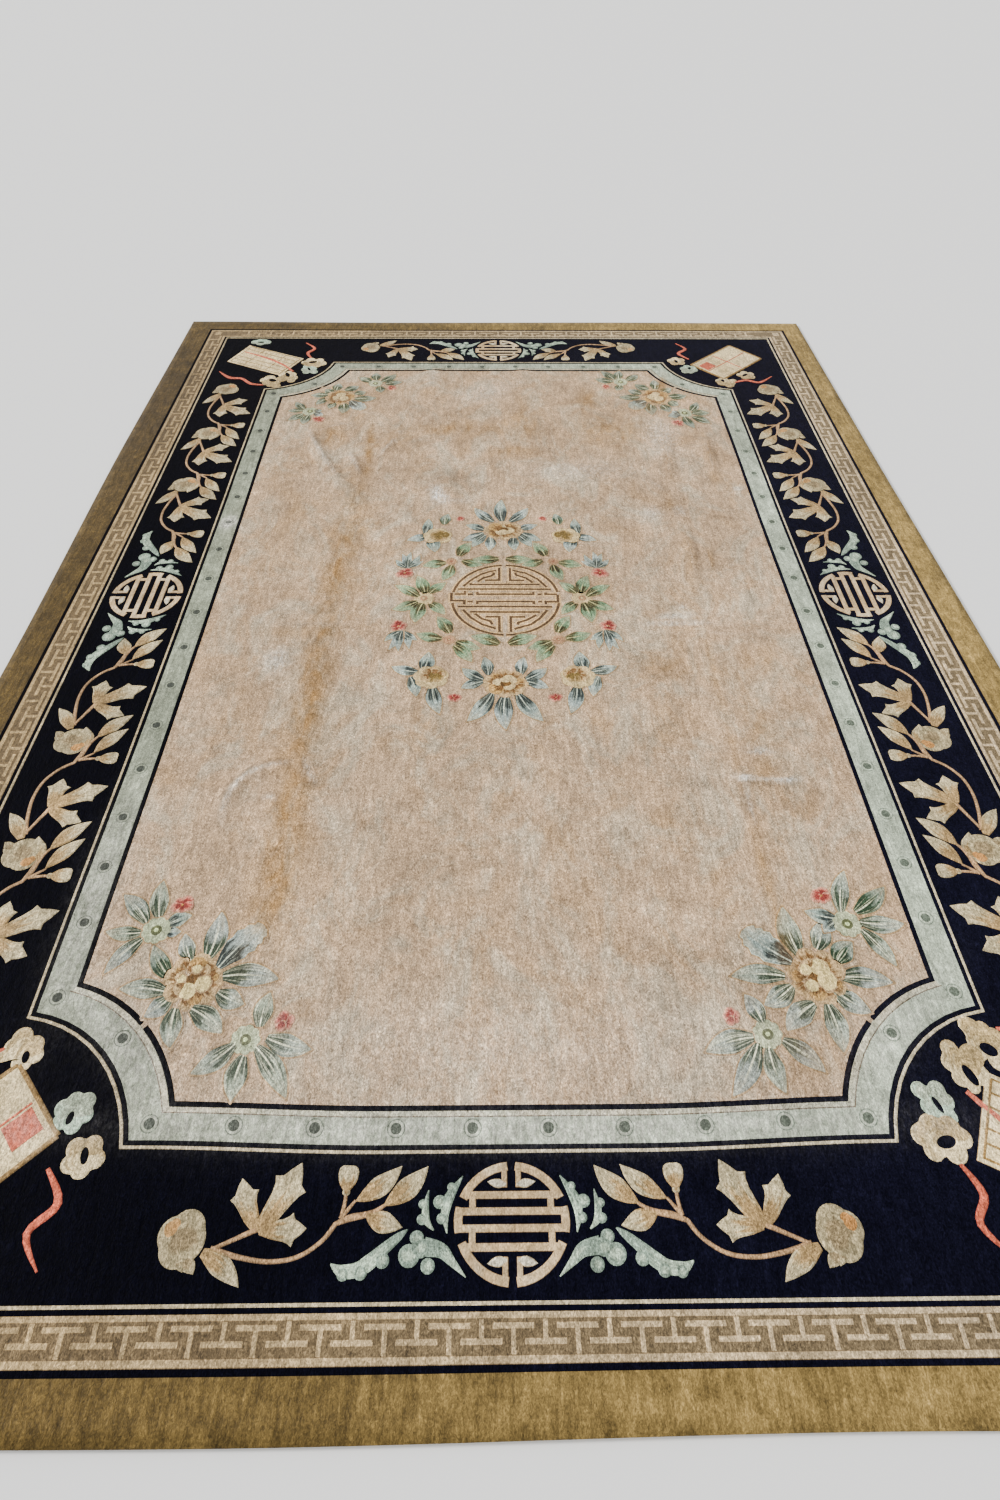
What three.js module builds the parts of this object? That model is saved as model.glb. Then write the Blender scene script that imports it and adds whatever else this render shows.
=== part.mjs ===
// A hand-knotted silk rug lying on a floor. Millimetres, +Z up.
// The origin is the middle of the rug at floor level, and +Y runs to its far end.
// The rug is one sheet of even thickness. Its sides lean a little, and it keeps
// the creases of the folding in which it was stored, so its underside lifts off
// the floor at each crease and lies flat on it everywhere else.

import * as THREE from 'three';

// Size of the rug laid straight: the usual 10 by 14 foot room size
const WIDTH = 3050;
const LENGTH = 4270;
const THICKNESS = 10;

const SILK = { color: 0xb59d84, roughness: 0.62, metalness: 0 };

// How far each side edge lies outside the straight rug, from the near end to the far one
const SIDE_LEAN = [
  { along: -2135, left: -9, right: 11 },
  { along: -1500, left: -7, right: 15 },
  { along: -350, left: -4, right: 4 },
  { along: 1000, left: 15, right: -5 },
  { along: 2135, left: 12, right: -8 },
];

// How far each end lies outside the straight rug, from the left side to the right one
const END_LEAN = [
  { across: -1525, near: 3, far: 8 },
  { across: -500, near: 8, far: -2 },
  { across: 600, near: -3, far: 4 },
  { across: 1525, near: 5, far: -4 },
];

// Creases: soft ridges along a curve from start to end that is drawn towards the bend.
// reach is the distance from the curve at which a ridge has died away.
const CREASES = [
  { name: 'left crescent', startX: -585, startY: -722, bendX: -765, bendY: -735,
    endX: -738, endY: -925, height: 13, reach: 42 },
  { name: 'left hook', startX: -560, startY: -700, bendX: -535, bendY: -760,
    endX: -510, endY: -800, height: 7, reach: 40 },
  { name: 'left pinch', startX: -650, startY: -850, bendX: -630, bendY: -822,
    endX: -610, endY: -855, height: 5, reach: 36 },
  { name: 'long slant', startX: -800, startY: 1080, bendX: -735, bendY: 880,
    endX: -625, endY: 700, height: 13, reach: 44 },
  { name: 'slant cap', startX: -775, startY: 1045, bendX: -700, bendY: 1110,
    endX: -610, endY: 1125, height: 7, reach: 44 },
  { name: 'inner slant', startX: -610, startY: 900, bendX: -575, bendY: 800,
    endX: -545, endY: 720, height: 8, reach: 40 },
  { name: 'lean tuck', startX: -410, startY: 1070, bendX: -435, bendY: 960,
    endX: -490, endY: 860, height: 9, reach: 46 },
  { name: 'left lengthwise fold', startX: -570, startY: 1250, bendX: -590, bendY: -100,
    endX: -585, endY: -1400, height: 4, reach: 80 },
  { name: 'right lengthwise fold', startX: 655, startY: 1150, bendX: 640, bendY: -100,
    endX: 650, endY: -1250, height: 4, reach: 80 },
  { name: 'right outer swell', startX: 770, startY: 1050, bendX: 765, bendY: 700,
    endX: 745, endY: 150, height: 5, reach: 70 },
  { name: 'right upper ridge', startX: 690, startY: 960, bendX: 665, bendY: 840,
    endX: 668, endY: 700, height: 11, reach: 44 },
  { name: 'right outer ridge', startX: 850, startY: 1020, bendX: 835, bendY: 860,
    endX: 842, endY: 720, height: 11, reach: 44 },
  { name: 'right inner pleat', startX: 668, startY: 330, bendX: 664, bendY: 200,
    endX: 668, endY: 60, height: 8, reach: 40 },
  { name: 'right outer pleat', startX: 722, startY: 300, bendX: 718, bendY: 190,
    endX: 720, endY: 80, height: 8, reach: 40 },
  { name: 'right slant', startX: 560, startY: 720, bendX: 590, bendY: 650,
    endX: 640, endY: 600, height: 7, reach: 42 },
  { name: 'right knot', startX: 610, startY: -770, bendX: 690, bendY: -800,
    endX: 795, endY: -785, height: 9, reach: 42 },
  { name: 'right knot tail', startX: 650, startY: -795, bendX: 640, bendY: -860,
    endX: 650, endY: -940, height: 8, reach: 40 },
  { name: 'left crosswise fold', startX: -930, startY: -95, bendX: -690, bendY: -190,
    endX: -400, endY: -135, height: 5, reach: 60 },
  { name: 'right crosswise fold', startX: 430, startY: -190, bendX: 680, bendY: -215,
    endX: 930, endY: -185, height: 5, reach: 60 },
  { name: 'far left ripple', startX: -300, startY: 1640, bendX: -306, bendY: 1560,
    endX: -300, endY: 1450, height: 6, reach: 60 },
  { name: 'far right ripple', startX: 112, startY: 1640, bendX: 104, bendY: 1560,
    endX: 96, endY: 1460, height: 6, reach: 60 },
];

// Where the surface is divided: a fine step over the creases and a wide one elsewhere
const COLUMN_STEPS = [
  { to: -1525, step: 0 },
  { to: -825, step: 140 },
  { to: -465, step: 30 },
  { to: -345, step: 60 },
  { to: 575, step: 132 },
  { to: 755, step: 30 },
  { to: 875, step: 40 },
  { to: 1525, step: 130 },
];
const ROW_STEPS = [
  { to: -2135, step: 0 },
  { to: -975, step: 145 },
  { to: -695, step: 35 },
  { to: -255, step: 147 },
  { to: -75, step: 36 },
  { to: 45, step: 60 },
  { to: 345, step: 75 },
  { to: 585, step: 120 },
  { to: 1145, step: 56 },
  { to: 1385, step: 120 },
  { to: 1685, step: 75 },
  { to: 2135, step: 150 },
];

const CURVE_STEPS = 14;

/** The places of the dividing lines between the first and last row of a step table. */
function dividingLines(steps) {
  const lines = [steps[0].to];
  for (const { to, step } of steps.slice(1)) {
    const from = lines[lines.length - 1];
    const count = Math.max(1, Math.round((to - from) / step));
    for (let i = 1; i <= count; i += 1) {
      lines.push(from + ((to - from) * i) / count);
    }
  }
  return lines;
}

/** A table's value at a place, eased smoothly from one row to the next. */
function easedValue(rows, placeKey, valueKey, place) {
  let i = 1;
  while (i < rows.length - 1 && place > rows[i][placeKey]) {
    i += 1;
  }
  const before = rows[i - 1];
  const after = rows[i];
  const share = THREE.MathUtils.smoothstep(place, before[placeKey], after[placeKey]);
  return THREE.MathUtils.lerp(before[valueKey], after[valueKey], share);
}

/** Where a point of the straight rug lies once its sides and ends lean. */
function leaned(x, y) {
  const acrossShare = x / WIDTH + 0.5;
  const alongShare = y / LENGTH + 0.5;
  const left = -easedValue(SIDE_LEAN, 'along', 'left', y);
  const right = easedValue(SIDE_LEAN, 'along', 'right', y);
  const near = -easedValue(END_LEAN, 'across', 'near', x);
  const far = easedValue(END_LEAN, 'across', 'far', x);
  return {
    x: x + THREE.MathUtils.lerp(left, right, acrossShare),
    y: y + THREE.MathUtils.lerp(near, far, alongShare),
  };
}

/** A crease with its curve as a chain of points, for measuring distances to it. */
function creaseLine(crease) {
  const curve = new THREE.QuadraticBezierCurve(
    new THREE.Vector2(crease.startX, crease.startY),
    new THREE.Vector2(crease.bendX, crease.bendY),
    new THREE.Vector2(crease.endX, crease.endY),
  );
  return { ...crease, points: curve.getPoints(CURVE_STEPS) };
}

/** Height that one crease gives a point: a round ridge that fades towards both ends. */
function ridgeHeight(crease, x, y) {
  let nearest = Infinity;
  let place = 0;
  for (let i = 0; i < CURVE_STEPS; i += 1) {
    const from = crease.points[i];
    const to = crease.points[i + 1];
    const stepX = to.x - from.x;
    const stepY = to.y - from.y;
    const along = ((x - from.x) * stepX + (y - from.y) * stepY) / (stepX ** 2 + stepY ** 2);
    const share = THREE.MathUtils.clamp(along, 0, 1);
    const away = Math.hypot(x - from.x - stepX * share, y - from.y - stepY * share);
    if (away < nearest) {
      nearest = away;
      place = (i + share) / CURVE_STEPS;
    }
  }
  if (nearest >= crease.reach) {
    return 0;
  }
  const across = (1 + Math.cos((Math.PI * nearest) / crease.reach)) / 2;
  return crease.height * across * Math.sin(Math.PI * place) ** 0.6;
}

/** How far the rug is lifted off the floor at a point, by all of its creases together. */
function lift(creases, x, y) {
  return creases.reduce((sum, crease) => sum + ridgeHeight(crease, x, y), 0);
}

/** The whole rug as one closed sheet: a divided box whose points are laid in place. */
function rugGeometry() {
  const columns = dividingLines(COLUMN_STEPS);
  const rows = dividingLines(ROW_STEPS);
  const creases = CREASES.map(creaseLine);
  const geometry = new THREE.BoxGeometry(1, 1, 1, columns.length - 1, rows.length - 1, 1);
  const position = geometry.getAttribute('position');
  for (let i = 0; i < position.count; i += 1) {
    const column = Math.round((position.getX(i) + 0.5) * (columns.length - 1));
    const row = Math.round((position.getY(i) + 0.5) * (rows.length - 1));
    const place = leaned(columns[column], rows[row]);
    const height = lift(creases, columns[column], rows[row]);
    const face = position.getZ(i) > 0 ? THICKNESS : 0;
    position.setXYZ(i, place.x, place.y, height + face);
  }
  geometry.computeVertexNormals();
  return geometry;
}

const rug = new THREE.Mesh(rugGeometry(), new THREE.MeshStandardMaterial(SILK));
rug.name = 'rug';

const model = new THREE.Group();
model.add(rug);

export default model;
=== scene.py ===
"""A hand-knotted silk rug laid on a floor: its dyed pattern, carved pile, creases and stains, with
painted crease shading and sheen.

The pattern is drawn in millimetres of the rug laid straight, from its middle, and every
shape is then laid on the creased rug. Blender's own units are metres.
"""

import logging
import math
import random
from collections.abc import Iterable, Sequence
from dataclasses import dataclass, field
from enum import Enum

import bmesh
import bpy
import numpy as np
from mathutils import Matrix, Vector


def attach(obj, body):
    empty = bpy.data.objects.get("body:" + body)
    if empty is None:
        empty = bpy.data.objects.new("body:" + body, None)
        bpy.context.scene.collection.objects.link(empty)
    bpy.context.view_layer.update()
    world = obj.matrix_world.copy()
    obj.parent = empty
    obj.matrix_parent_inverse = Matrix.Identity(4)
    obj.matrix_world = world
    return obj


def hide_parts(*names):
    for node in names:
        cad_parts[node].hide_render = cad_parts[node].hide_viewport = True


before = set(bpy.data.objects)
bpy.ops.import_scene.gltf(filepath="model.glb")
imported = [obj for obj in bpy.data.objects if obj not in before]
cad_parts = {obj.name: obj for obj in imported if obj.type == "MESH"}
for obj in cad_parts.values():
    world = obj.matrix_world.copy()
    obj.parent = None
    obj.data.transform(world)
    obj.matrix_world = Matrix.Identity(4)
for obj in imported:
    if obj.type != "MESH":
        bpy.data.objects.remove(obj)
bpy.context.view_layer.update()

MM = 0.001
LOG = logging.getLogger("silk_rug")

Point = tuple[float, float]
Shade = tuple[float, float, float]
Row = Sequence[float]
Socket = bpy.types.NodeSocket
Shape = bmesh.types.BMesh

CURVE_STEPS = 14
NOTCH_STEPS = 10

@dataclass(frozen=True)
class Crease:
    """A soft ridge that the stored folding left, along a curve, in millimetres.

    Its painted shading is a painted highlight on the ridge and painted shade beside it,
    on the left of the way from start to end, or on the right where its painted shading is negative.
    """

    start: Point
    bend: Point
    end: Point
    height: float
    reach: float
    mark: float = 0.0
    highlight_width: float = 7
    highlight_strength: float = 0.34
    shade_gap: float = 14
    shade_width: float = 9

    def line(self) -> np.ndarray:
        """Gives the points along the crease's curve, one row each."""
        share = np.linspace(0, 1, CURVE_STEPS + 1)[:, None]
        start, bend, end = (np.array(p) for p in (self.start, self.bend, self.end))
        return (1 - share) ** 2 * start + 2 * share * (1 - share) * bend + share**2 * end

    def measure(self, places: np.ndarray) -> tuple[np.ndarray, np.ndarray, np.ndarray]:
        """Measures the places that lie near this crease.

        Args:
            places: Points of the straight rug, one row each.

        Returns:
            Which places are near, and for each of those its distance from the curve, which is
            negative on the right, and its share of the way along it.
        """
        line = self.line()
        low, high = line.min(axis=0) - self.reach, line.max(axis=0) + self.reach
        near = np.all((places > low) & (places < high), axis=1)
        found = places[near]
        gap, place = np.full(len(found), np.inf), np.zeros(len(found))
        for i, (first, last) in enumerate(zip(line, line[1:])):
            step, away = last - first, found - first
            share = np.clip((away @ step) / (step @ step), 0, 1)
            side = np.where(step[0] * away[:, 1] < step[1] * away[:, 0], -1, 1)
            length = np.linalg.norm(away - share[:, None] * step, axis=1)
            closer = length < np.abs(gap)
            place = np.where(closer, (i + share) / (len(line) - 1), place)
            gap = np.where(closer, side * length, gap)
        return near, gap, place

    @staticmethod
    def fading(place: np.ndarray) -> np.ndarray:
        """Gives how strong a crease is at each share of the way along it."""
        return np.sin(np.pi * place) ** 0.6

    def lift(self, places: np.ndarray) -> np.ndarray:
        """Works out how high this crease lifts the rug.

        Args:
            places: Points of the straight rug, one row each.

        Returns:
            The lift at each place, in millimetres.
        """
        near, gap, place = self.measure(places)
        across = (1 + np.cos(np.pi * np.minimum(np.abs(gap) / self.reach, 1))) / 2
        raised = np.zeros(len(places))
        raised[near] = self.height * across * self.fading(place)
        return raised

    def painted_shading_at(self, places: np.ndarray) -> np.ndarray:
        """Works out the painted highlight and shade along this crease.

        Args:
            places: Points of the straight rug, one row each.

        Returns:
            The painted highlight and shade at each place, in the bleach and soot channels of the
            stains.
        """
        near, gap, place = self.measure(places)
        share = abs(self.mark) * self.fading(place)
        aside = gap - math.copysign(self.shade_gap, self.mark)
        stained_and_shaded = np.zeros((len(places), 4))
        # Painted highlight along the ridge goes into the bleach channel, and painted shade beside it
        # into the soot channel.
        stained_and_shaded[near, StainAndShade.BLEACH_AND_HIGHLIGHT.value] = self.highlight_strength * share * np.exp(-((gap / self.highlight_width) ** 2))
        stained_and_shaded[near, StainAndShade.SOOT_AND_SHADE.value] = share * np.exp(-((aside / self.shade_width) ** 2))
        return stained_and_shaded


def eased(rows: Sequence[Row], places: np.ndarray) -> np.ndarray:
    """Reads a table of leans at many places, eased smoothly from row to row.

    Args:
        rows: A place in each, and how far two opposite edges lie outside the straight rug there.
        places: Where to read it.

    Returns:
        The low edge's lean and the high edge's at each place.
    """
    table = np.array(rows, float)
    value = np.tile(table[0, 1:, None], len(places))
    for before, after in zip(table, table[1:]):
        value += (after - before)[1:, None] * smooth(places, before[0], after[0])
    return value


def smooth(value: np.ndarray, low: float, high: float) -> np.ndarray:
    """Eases values from 0 at low to 1 at high."""
    share = np.clip((value - low) / (high - low), 0, 1)
    return share * share * (3 - 2 * share)


@dataclass(frozen=True)
class LaidRug:
    """The rug's size, and how it lies: its leaning edges and its creases."""

    width: float = 3050
    length: float = 4270
    thickness: float = 10
    sides: tuple[Row, ...] = (
        (-2135, -9, 11), (-1500, -7, 15), (-350, -4, 4), (1000, 15, -5), (2135, 12, -8),
    )
    ends: tuple[Row, ...] = ((-1525, 3, 8), (-500, 8, -2), (600, -3, 4), (1525, 5, -4))
    drift: tuple[Row, ...] = ((-1300, -3, -1), (-550, 1, 1), (350, 0, 0), (1000, -4, 5))
    lean_from: float = 0.93
    drift_middle: float = 500
    drift_fade: Point = (1070, 1330)
    near_bow: float = 13
    bow_along: tuple[float, float, float, float] = (1250, 1600, 1690, 1900)
    bow_across: Point = (250, 760)
    # The sixth number of a crease is the strength of its painted highlight on the ridge and painted
    # shade beside it; a minus puts the shade on the right.
    creases: tuple[Crease, ...] = (
        Crease((-585, -722), (-765, -735), (-738, -925), 13, 42, -1.3),
        Crease((-560, -700), (-535, -760), (-510, -800), 7, 40, -0.9),
        Crease((-650, -850), (-630, -822), (-610, -855), 5, 36, 0.8),
        Crease((-800, 1080), (-735, 880), (-625, 700), 13, 44, 1.1),
        Crease((-775, 1045), (-700, 1110), (-610, 1125), 7, 44, 0.3),
        Crease((-610, 900), (-575, 800), (-545, 720), 8, 40, 0.8),
        Crease((-410, 1070), (-435, 960), (-490, 860), 9, 46, 0.6),
        Crease((-570, 1250), (-590, -100), (-585, -1400), 4, 80),
        Crease((655, 1150), (640, -100), (650, -1250), 4, 80),
        Crease((770, 1050), (765, 700), (745, 150), 5, 70),
        Crease((690, 960), (665, 840), (668, 700), 11, 44, -0.4),
        Crease((850, 1020), (835, 860), (842, 720), 11, 44, 0.4),
        Crease((668, 330), (664, 200), (668, 60), 8, 40, 0.3),
        Crease((722, 300), (718, 190), (720, 80), 8, 40, -0.3),
        Crease((560, 720), (590, 650), (640, 600), 7, 42, 0.4),
        Crease((610, -770), (690, -800), (795, -785), 9, 42, -0.9),
        Crease((650, -795), (640, -860), (650, -940), 8, 40, -0.8),
        Crease((-930, -95), (-690, -190), (-400, -135), 5, 60, -0.18),
        Crease((430, -190), (680, -215), (930, -185), 5, 60, -0.15),
        Crease((-300, 1640), (-306, 1560), (-300, 1450), 6, 60, 0.5),
        Crease((112, 1640), (104, 1560), (96, 1460), 6, 60, 0.5),
    )

    def lift(self, places: np.ndarray) -> np.ndarray:
        """Adds up the lift of all creases at each place, in millimetres."""
        return sum(crease.lift(places) for crease in self.creases)

    def lay(self, points: np.ndarray) -> np.ndarray:
        """Moves points of the straight rug to where they lie.

        The edges lean by their tables, and the pattern inside drifts only a little.

        Args:
            points: Rows of x, y and height above the floor, in millimetres.

        Returns:
            Rows of x, y and z in metres.
        """
        x, y, z = points.T
        left, right = (smooth(side * x / self.width * 2, self.lean_from, 1) for side in (-1, 1))
        near, far = (smooth(side * y / self.length * 2, self.lean_from, 1) for side in (-1, 1))
        sides, ends, (low, high) = eased(self.sides, y), eased(self.ends, x), eased(self.drift, y)
        drift = low + (high - low) * smooth(x, -self.drift_middle, self.drift_middle)
        drift *= smooth(-np.abs(x), -self.drift_fade[1], -self.drift_fade[0])
        bowed = smooth(-y, *self.bow_along[:2]) - smooth(-y, *self.bow_along[2:])
        bow = self.near_bow * bowed * smooth(-np.abs(x), -self.bow_across[1], -self.bow_across[0])
        laid = np.stack([
            x + drift - left * sides[0] + right * sides[1],
            y - bow - near * ends[0] + far * ends[1],
            z + self.lift(points[:, :2]),
        ], axis=1)
        return laid * MM


class StainAndShade(Enum):
    """The kinds of stain that the pile shows, by their channel; the soot channel also holds painted
    crease shade, and the bleach channel painted crease highlights.
    """

    RUST = 0
    SOOT_AND_SHADE = 1
    BLEACH_AND_HIGHLIGHT = 2


@dataclass(frozen=True)
class OvalPatch:
    """A soft oval patch of colour: mostly stains, a few painted crease shade and highlights. The angle
    turns its length from across the rug.
    """

    x: float
    y: float
    length: float
    width: float
    angle: float
    strength: float

    def amount(self, places: np.ndarray) -> np.ndarray:
        """Works out the stain's strength.

        Args:
            places: Points of the straight rug, one row each.

        Returns:
            The strength at each place.
        """
        turn = math.radians(self.angle)
        away = places - (self.x, self.y)
        along = (away @ (math.cos(turn), math.sin(turn))) / self.length
        across = (away @ (-math.sin(turn), math.cos(turn))) / self.width
        return self.strength * np.exp(-(along**2 + across**2))


# Rows of x, y, length, width, angle and strength for each kind of stain; a few soot and bleach rows are
# painted crease shade and highlights
STAINS_AND_SHADE: dict[StainAndShade, tuple[Row, ...]] = {
    StainAndShade.RUST: (
        (-568, -980, 210, 48, 90, 1.0), (-566, -1150, 110, 54, 90, 0.5),
        (-572, -650, 260, 50, 90, 0.65), (-575, -430, 190, 62, 90, 0.55),
        (-578, -150, 220, 56, 90, 0.65), (-566, 120, 160, 60, 90, 0.7), (-545, 330, 150, 68, 90, 0.65),
        (-550, 590, 170, 56, 90, 0.6), (-530, 950, 190, 17, 92, 1.0), (-510, 900, 120, 60, 90, 0.25),
        (-690, 1010, 90, 60, 100, 0.85), (-600, 760, 70, 50, 0, 0.4), (-620, 1190, 60, 50, 0, 0.4),
        (-700, -190, 180, 22, 0, 0.4), (-830, -790, 110, 20, 0, 0.3), (-250, -620, 150, 30, 35, 0.35),
        (642, -1080, 220, 20, 90, 0.75), (640, -700, 150, 12, 90, 0.35), (640, -380, 220, 14, 90, 0.55),
        (640, 60, 150, 11, 90, 0.3), (636, 560, 160, 13, 90, 0.4), (700, -770, 45, 30, 60, 0.7),
        (735, -560, 150, 46, 100, 0.55), (820, -330, 120, 70, 0, 0.35), (500, -340, 100, 50, 0, 0.5),
        (520, -1070, 40, 30, 90, 0.5), (300, -850, 60, 30, 90, 0.4), (400, -930, 60, 25, 0, 0.3),
        (660, -1530, 60, 50, 0, 0.5), (470, 1050, 150, 110, 0, 0.8), (390, 1330, 45, 100, 0, 0.75),
        (60, 900, 95, 50, 0, 0.8), (-180, 1080, 170, 60, 0, 0.75), (110, 1130, 70, 130, 0, 0.65),
        (-250, 1560, 80, 12, 90, 0.5), (672, 850, 140, 18, 88, 0.9), (842, 850, 170, 16, 88, 1.0),
        (760, 1000, 90, 50, 30, 0.45), (664, 210, 120, 18, 90, 0.8), (725, 200, 90, 16, 90, 0.8),
        (742, 1480, 80, 18, 80, 1.0), (0, 1300, 900, 330, 0, 0.2), (-420, 1010, 90, 70, 60, 0.45),
        (630, 1230, 80, 60, 0, 0.5), (-775, 350, 260, 160, 90, 0.3),
    ),
    StainAndShade.SOOT_AND_SHADE: (
        (-300, 1150, 140, 50, 20, 0.25), (200, 1000, 120, 60, 70, 0.22), (-170, 710, 90, 60, 0, 1.0),
        # The rows at (640, -860), (692, 180), (636, 800) and (874, 850) are painted shade in crease
        # troughs and beside crease ridges.
        (-120, 640, 60, 40, 0, 0.3), (-460, 950, 120, 20, 72, 0.3), (640, -860, 70, 9, 88, 0.8),
        (692, 180, 140, 9, 90, 0.9), (636, 800, 150, 12, 88, 0.7), (874, 850, 150, 12, 90, 0.8),
        (820, 300, 200, 130, 90, 0.22), (700, 520, 160, 60, 90, 0.2), (840, 0, 90, 60, 0, 0.15),
        (-830, 600, 200, 40, 90, 0.2), (-775, 350, 260, 160, 90, 0.22), (600, 1420, 60, 60, 0, 0.3),
        (-1480, 1250, 800, 110, 90, 1.0), (1000, 1050, 320, 50, 90, 0.6), (1500, 75, 45, 30, 60, 0.7),
        (1490, 1200, 700, 80, 90, 0.2),
    ),
    StainAndShade.BLEACH_AND_HIGHLIGHT: (
        (300, 760, 160, 60, 0, 0.25), (-60, 1400, 120, 70, 30, 0.2), (-240, 600, 52, 19, -72, 1.0),
        (-228, 570, 22, 15, 0, 0.7), (-160, 545, 60, 9, 0, 0.35), (590, -60, 15, 10, 0, 1.0),
        (560, -112, 50, 12, 0, 0.5), (520, -148, 60, 10, 0, 0.4), (610, -150, 60, 10, 0, 0.3),
        # The rows at (650, -785) and (770, -790) are painted highlights on a crease ridge.
        (650, -785, 16, 9, 0, 0.8), (770, -790, 30, 8, 8, 0.7), (715, -690, 30, 7, 0, 0.5),
        (925, 632, 13, 10, 0, 0.8), (670, 480, 25, 20, 0, 0.4), (560, 470, 30, 40, 0, 0.35),
        (670, 1020, 150, 60, 90, 0.3), (-700, -310, 35, 45, 0, 0.5), (-1000, 410, 32, 24, 90, 1.0),
        (-1000, -1130, 260, 50, 90, 0.3), (0, -1655, 900, 38, 0, 0.35),
        (-840, -1480, 190, 42, -43, 0.3), (840, -1480, 190, 42, 43, 0.2), (0, -1500, 700, 120, 0, 0.12),
    ),
}


def stains_and_shading_at(places: np.ndarray, creases: Iterable[Crease]) -> np.ndarray:
    """Adds up the stains and the creases' painted highlights and shade at each place.

    Args:
        places: Points of the straight rug, in millimetres.
        creases: The rug's creases.

    Returns:
        Rows of red, green, blue and alpha: rust, soot with painted shade, bleach with painted
            highlights, and a full alpha.
    """
    amounts = np.zeros((len(places), 4))
    amounts[:, 3] = 1
    for kind, rows in STAINS_AND_SHADE.items():
        for row in rows:
            amounts[:, kind.value] += OvalPatch(*row).amount(places)
    amounts += sum(crease.painted_shading_at(places) for crease in creases if crease.mark)
    return np.clip(amounts, 0, 1)


def linear(red: float, green: float, blue: float) -> tuple[float, float, float, float]:
    """Turns a dyer's shade card value, 0 to 255, into the renderer's linear colour."""
    shares = (c / 255 for c in (red, green, blue))
    return (*(s / 12.92 if s <= 0.04045 else ((s + 0.055) / 1.055) ** 2.4 for s in shares), 1)


class Loom:
    """Places shader nodes in one node tree and links them."""

    def __init__(self, tree: bpy.types.NodeTree) -> None:
        """Starts on a tree."""
        self.tree = tree

    def put(self, kind: str, inputs: dict | None = None, **settings: object) -> bpy.types.Node:
        """Adds one node.

        Args:
            kind: The node's type name, without its ShaderNode prefix.
            inputs: A socket or a plain value for each input, by name or number.
            settings: The node's own settings.

        Returns:
            The new node.
        """
        node = self.tree.nodes.new(f"ShaderNode{kind}")
        for name, value in settings.items():
            setattr(node, name, value)
        for key, value in (inputs or {}).items():
            if isinstance(value, Socket):
                self.tree.links.new(value, node.inputs[key])
            else:
                node.inputs[key].default_value = value
        return node

    def math(self, operation: str, a: object, b: object = 0.0, clamp: bool = False) -> Socket:
        """Adds a math node and gives its result."""
        return self.put("Math", {0: a, 1: b}, operation=operation, use_clamp=clamp).outputs[0]

    def blend(self, share: object, a: object, b: object) -> Socket:
        """Adds a colour mix of a and b and gives its result."""
        return self.put("Mix", {0: share, 6: a, 7: b}, data_type="RGBA").outputs[2]

    def ramp(self, value: Socket, low: object, high: object, to: Point = (0, 1)) -> Socket:
        """Eases a value from low and high to the two ends of a range."""
        inputs = {0: value, 1: low, 2: high, 3: to[0], 4: to[1]}
        return self.put("MapRange", inputs, interpolation_type="SMOOTHSTEP").outputs[0]

    def noise(
        self, place: Socket, scale: float, detail: float = 3, bent: float = 0, rough: float = 0.5
    ) -> Socket:
        """Adds a noise texture and gives its value."""
        inputs = {
            "Vector": place, "Scale": scale, "Detail": detail, "Roughness": rough, "Distortion": bent,
        }
        return self.put("TexNoise", inputs).outputs[0]

    def shade(self) -> tuple[Socket, Socket, Socket]:
        """Gives the place along and across a carved shape, and how near its rim is."""
        read = self.put("Attribute", attribute_name="shade").outputs["Vector"]
        return tuple(self.put("SeparateXYZ", {0: read}).outputs)

    def weighed(self, parts: Iterable[tuple[Socket, float]]) -> Socket:
        """Adds up noises about their middle value.

        Args:
            parts: Each noise with its weight.

        Returns:
            The sum.
        """
        total: object = 0.0
        for part, weight in parts:
            terms = {0: self.math("SUBTRACT", part, 0.5), 1: weight, 2: total}
            total = self.put("Math", terms, operation="MULTIPLY_ADD").outputs[0]
        return total

    def stretched(self, place: Socket, x: float, y: float, turn: float = 0, deep: float = 1) -> Socket:
        """Stretches a place along its ways, after turning it by some degrees."""
        inputs = {"Vector": place, "Scale": (x, y, deep), "Rotation": (0, 0, math.radians(turn))}
        return self.put("Mapping", inputs).outputs[0]


def new_group(
    name: str, inputs: dict[str, object], outputs: Sequence[str]
) -> tuple[bpy.types.NodeTree, Loom, bpy.types.Node, bpy.types.Node]:
    """Makes an empty shader node group.

    Args:
        name: Its name.
        inputs: Its inputs with their plain values, a colour or a number.
        outputs: Its outputs. Height is a number, and the others are colours.

    Returns:
        The group, a loom on it, and its input and output nodes.
    """
    group = bpy.data.node_groups.new(name, "ShaderNodeTree")
    for label, value in inputs.items():
        kind = "NodeSocketColor" if isinstance(value, tuple) else "NodeSocketFloat"
        made = group.interface.new_socket(label, in_out="INPUT", socket_type=kind)
        made.default_value = value
    for label in outputs:
        kind = "NodeSocketFloat" if label == "Height" else "NodeSocketColor"
        group.interface.new_socket(label, in_out="OUTPUT", socket_type=kind)
    source, target = group.nodes.new("NodeGroupInput"), group.nodes.new("NodeGroupOutput")
    return group, Loom(group), source, target


GREY = (0.5, 0.5, 0.5, 1.0)


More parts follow.
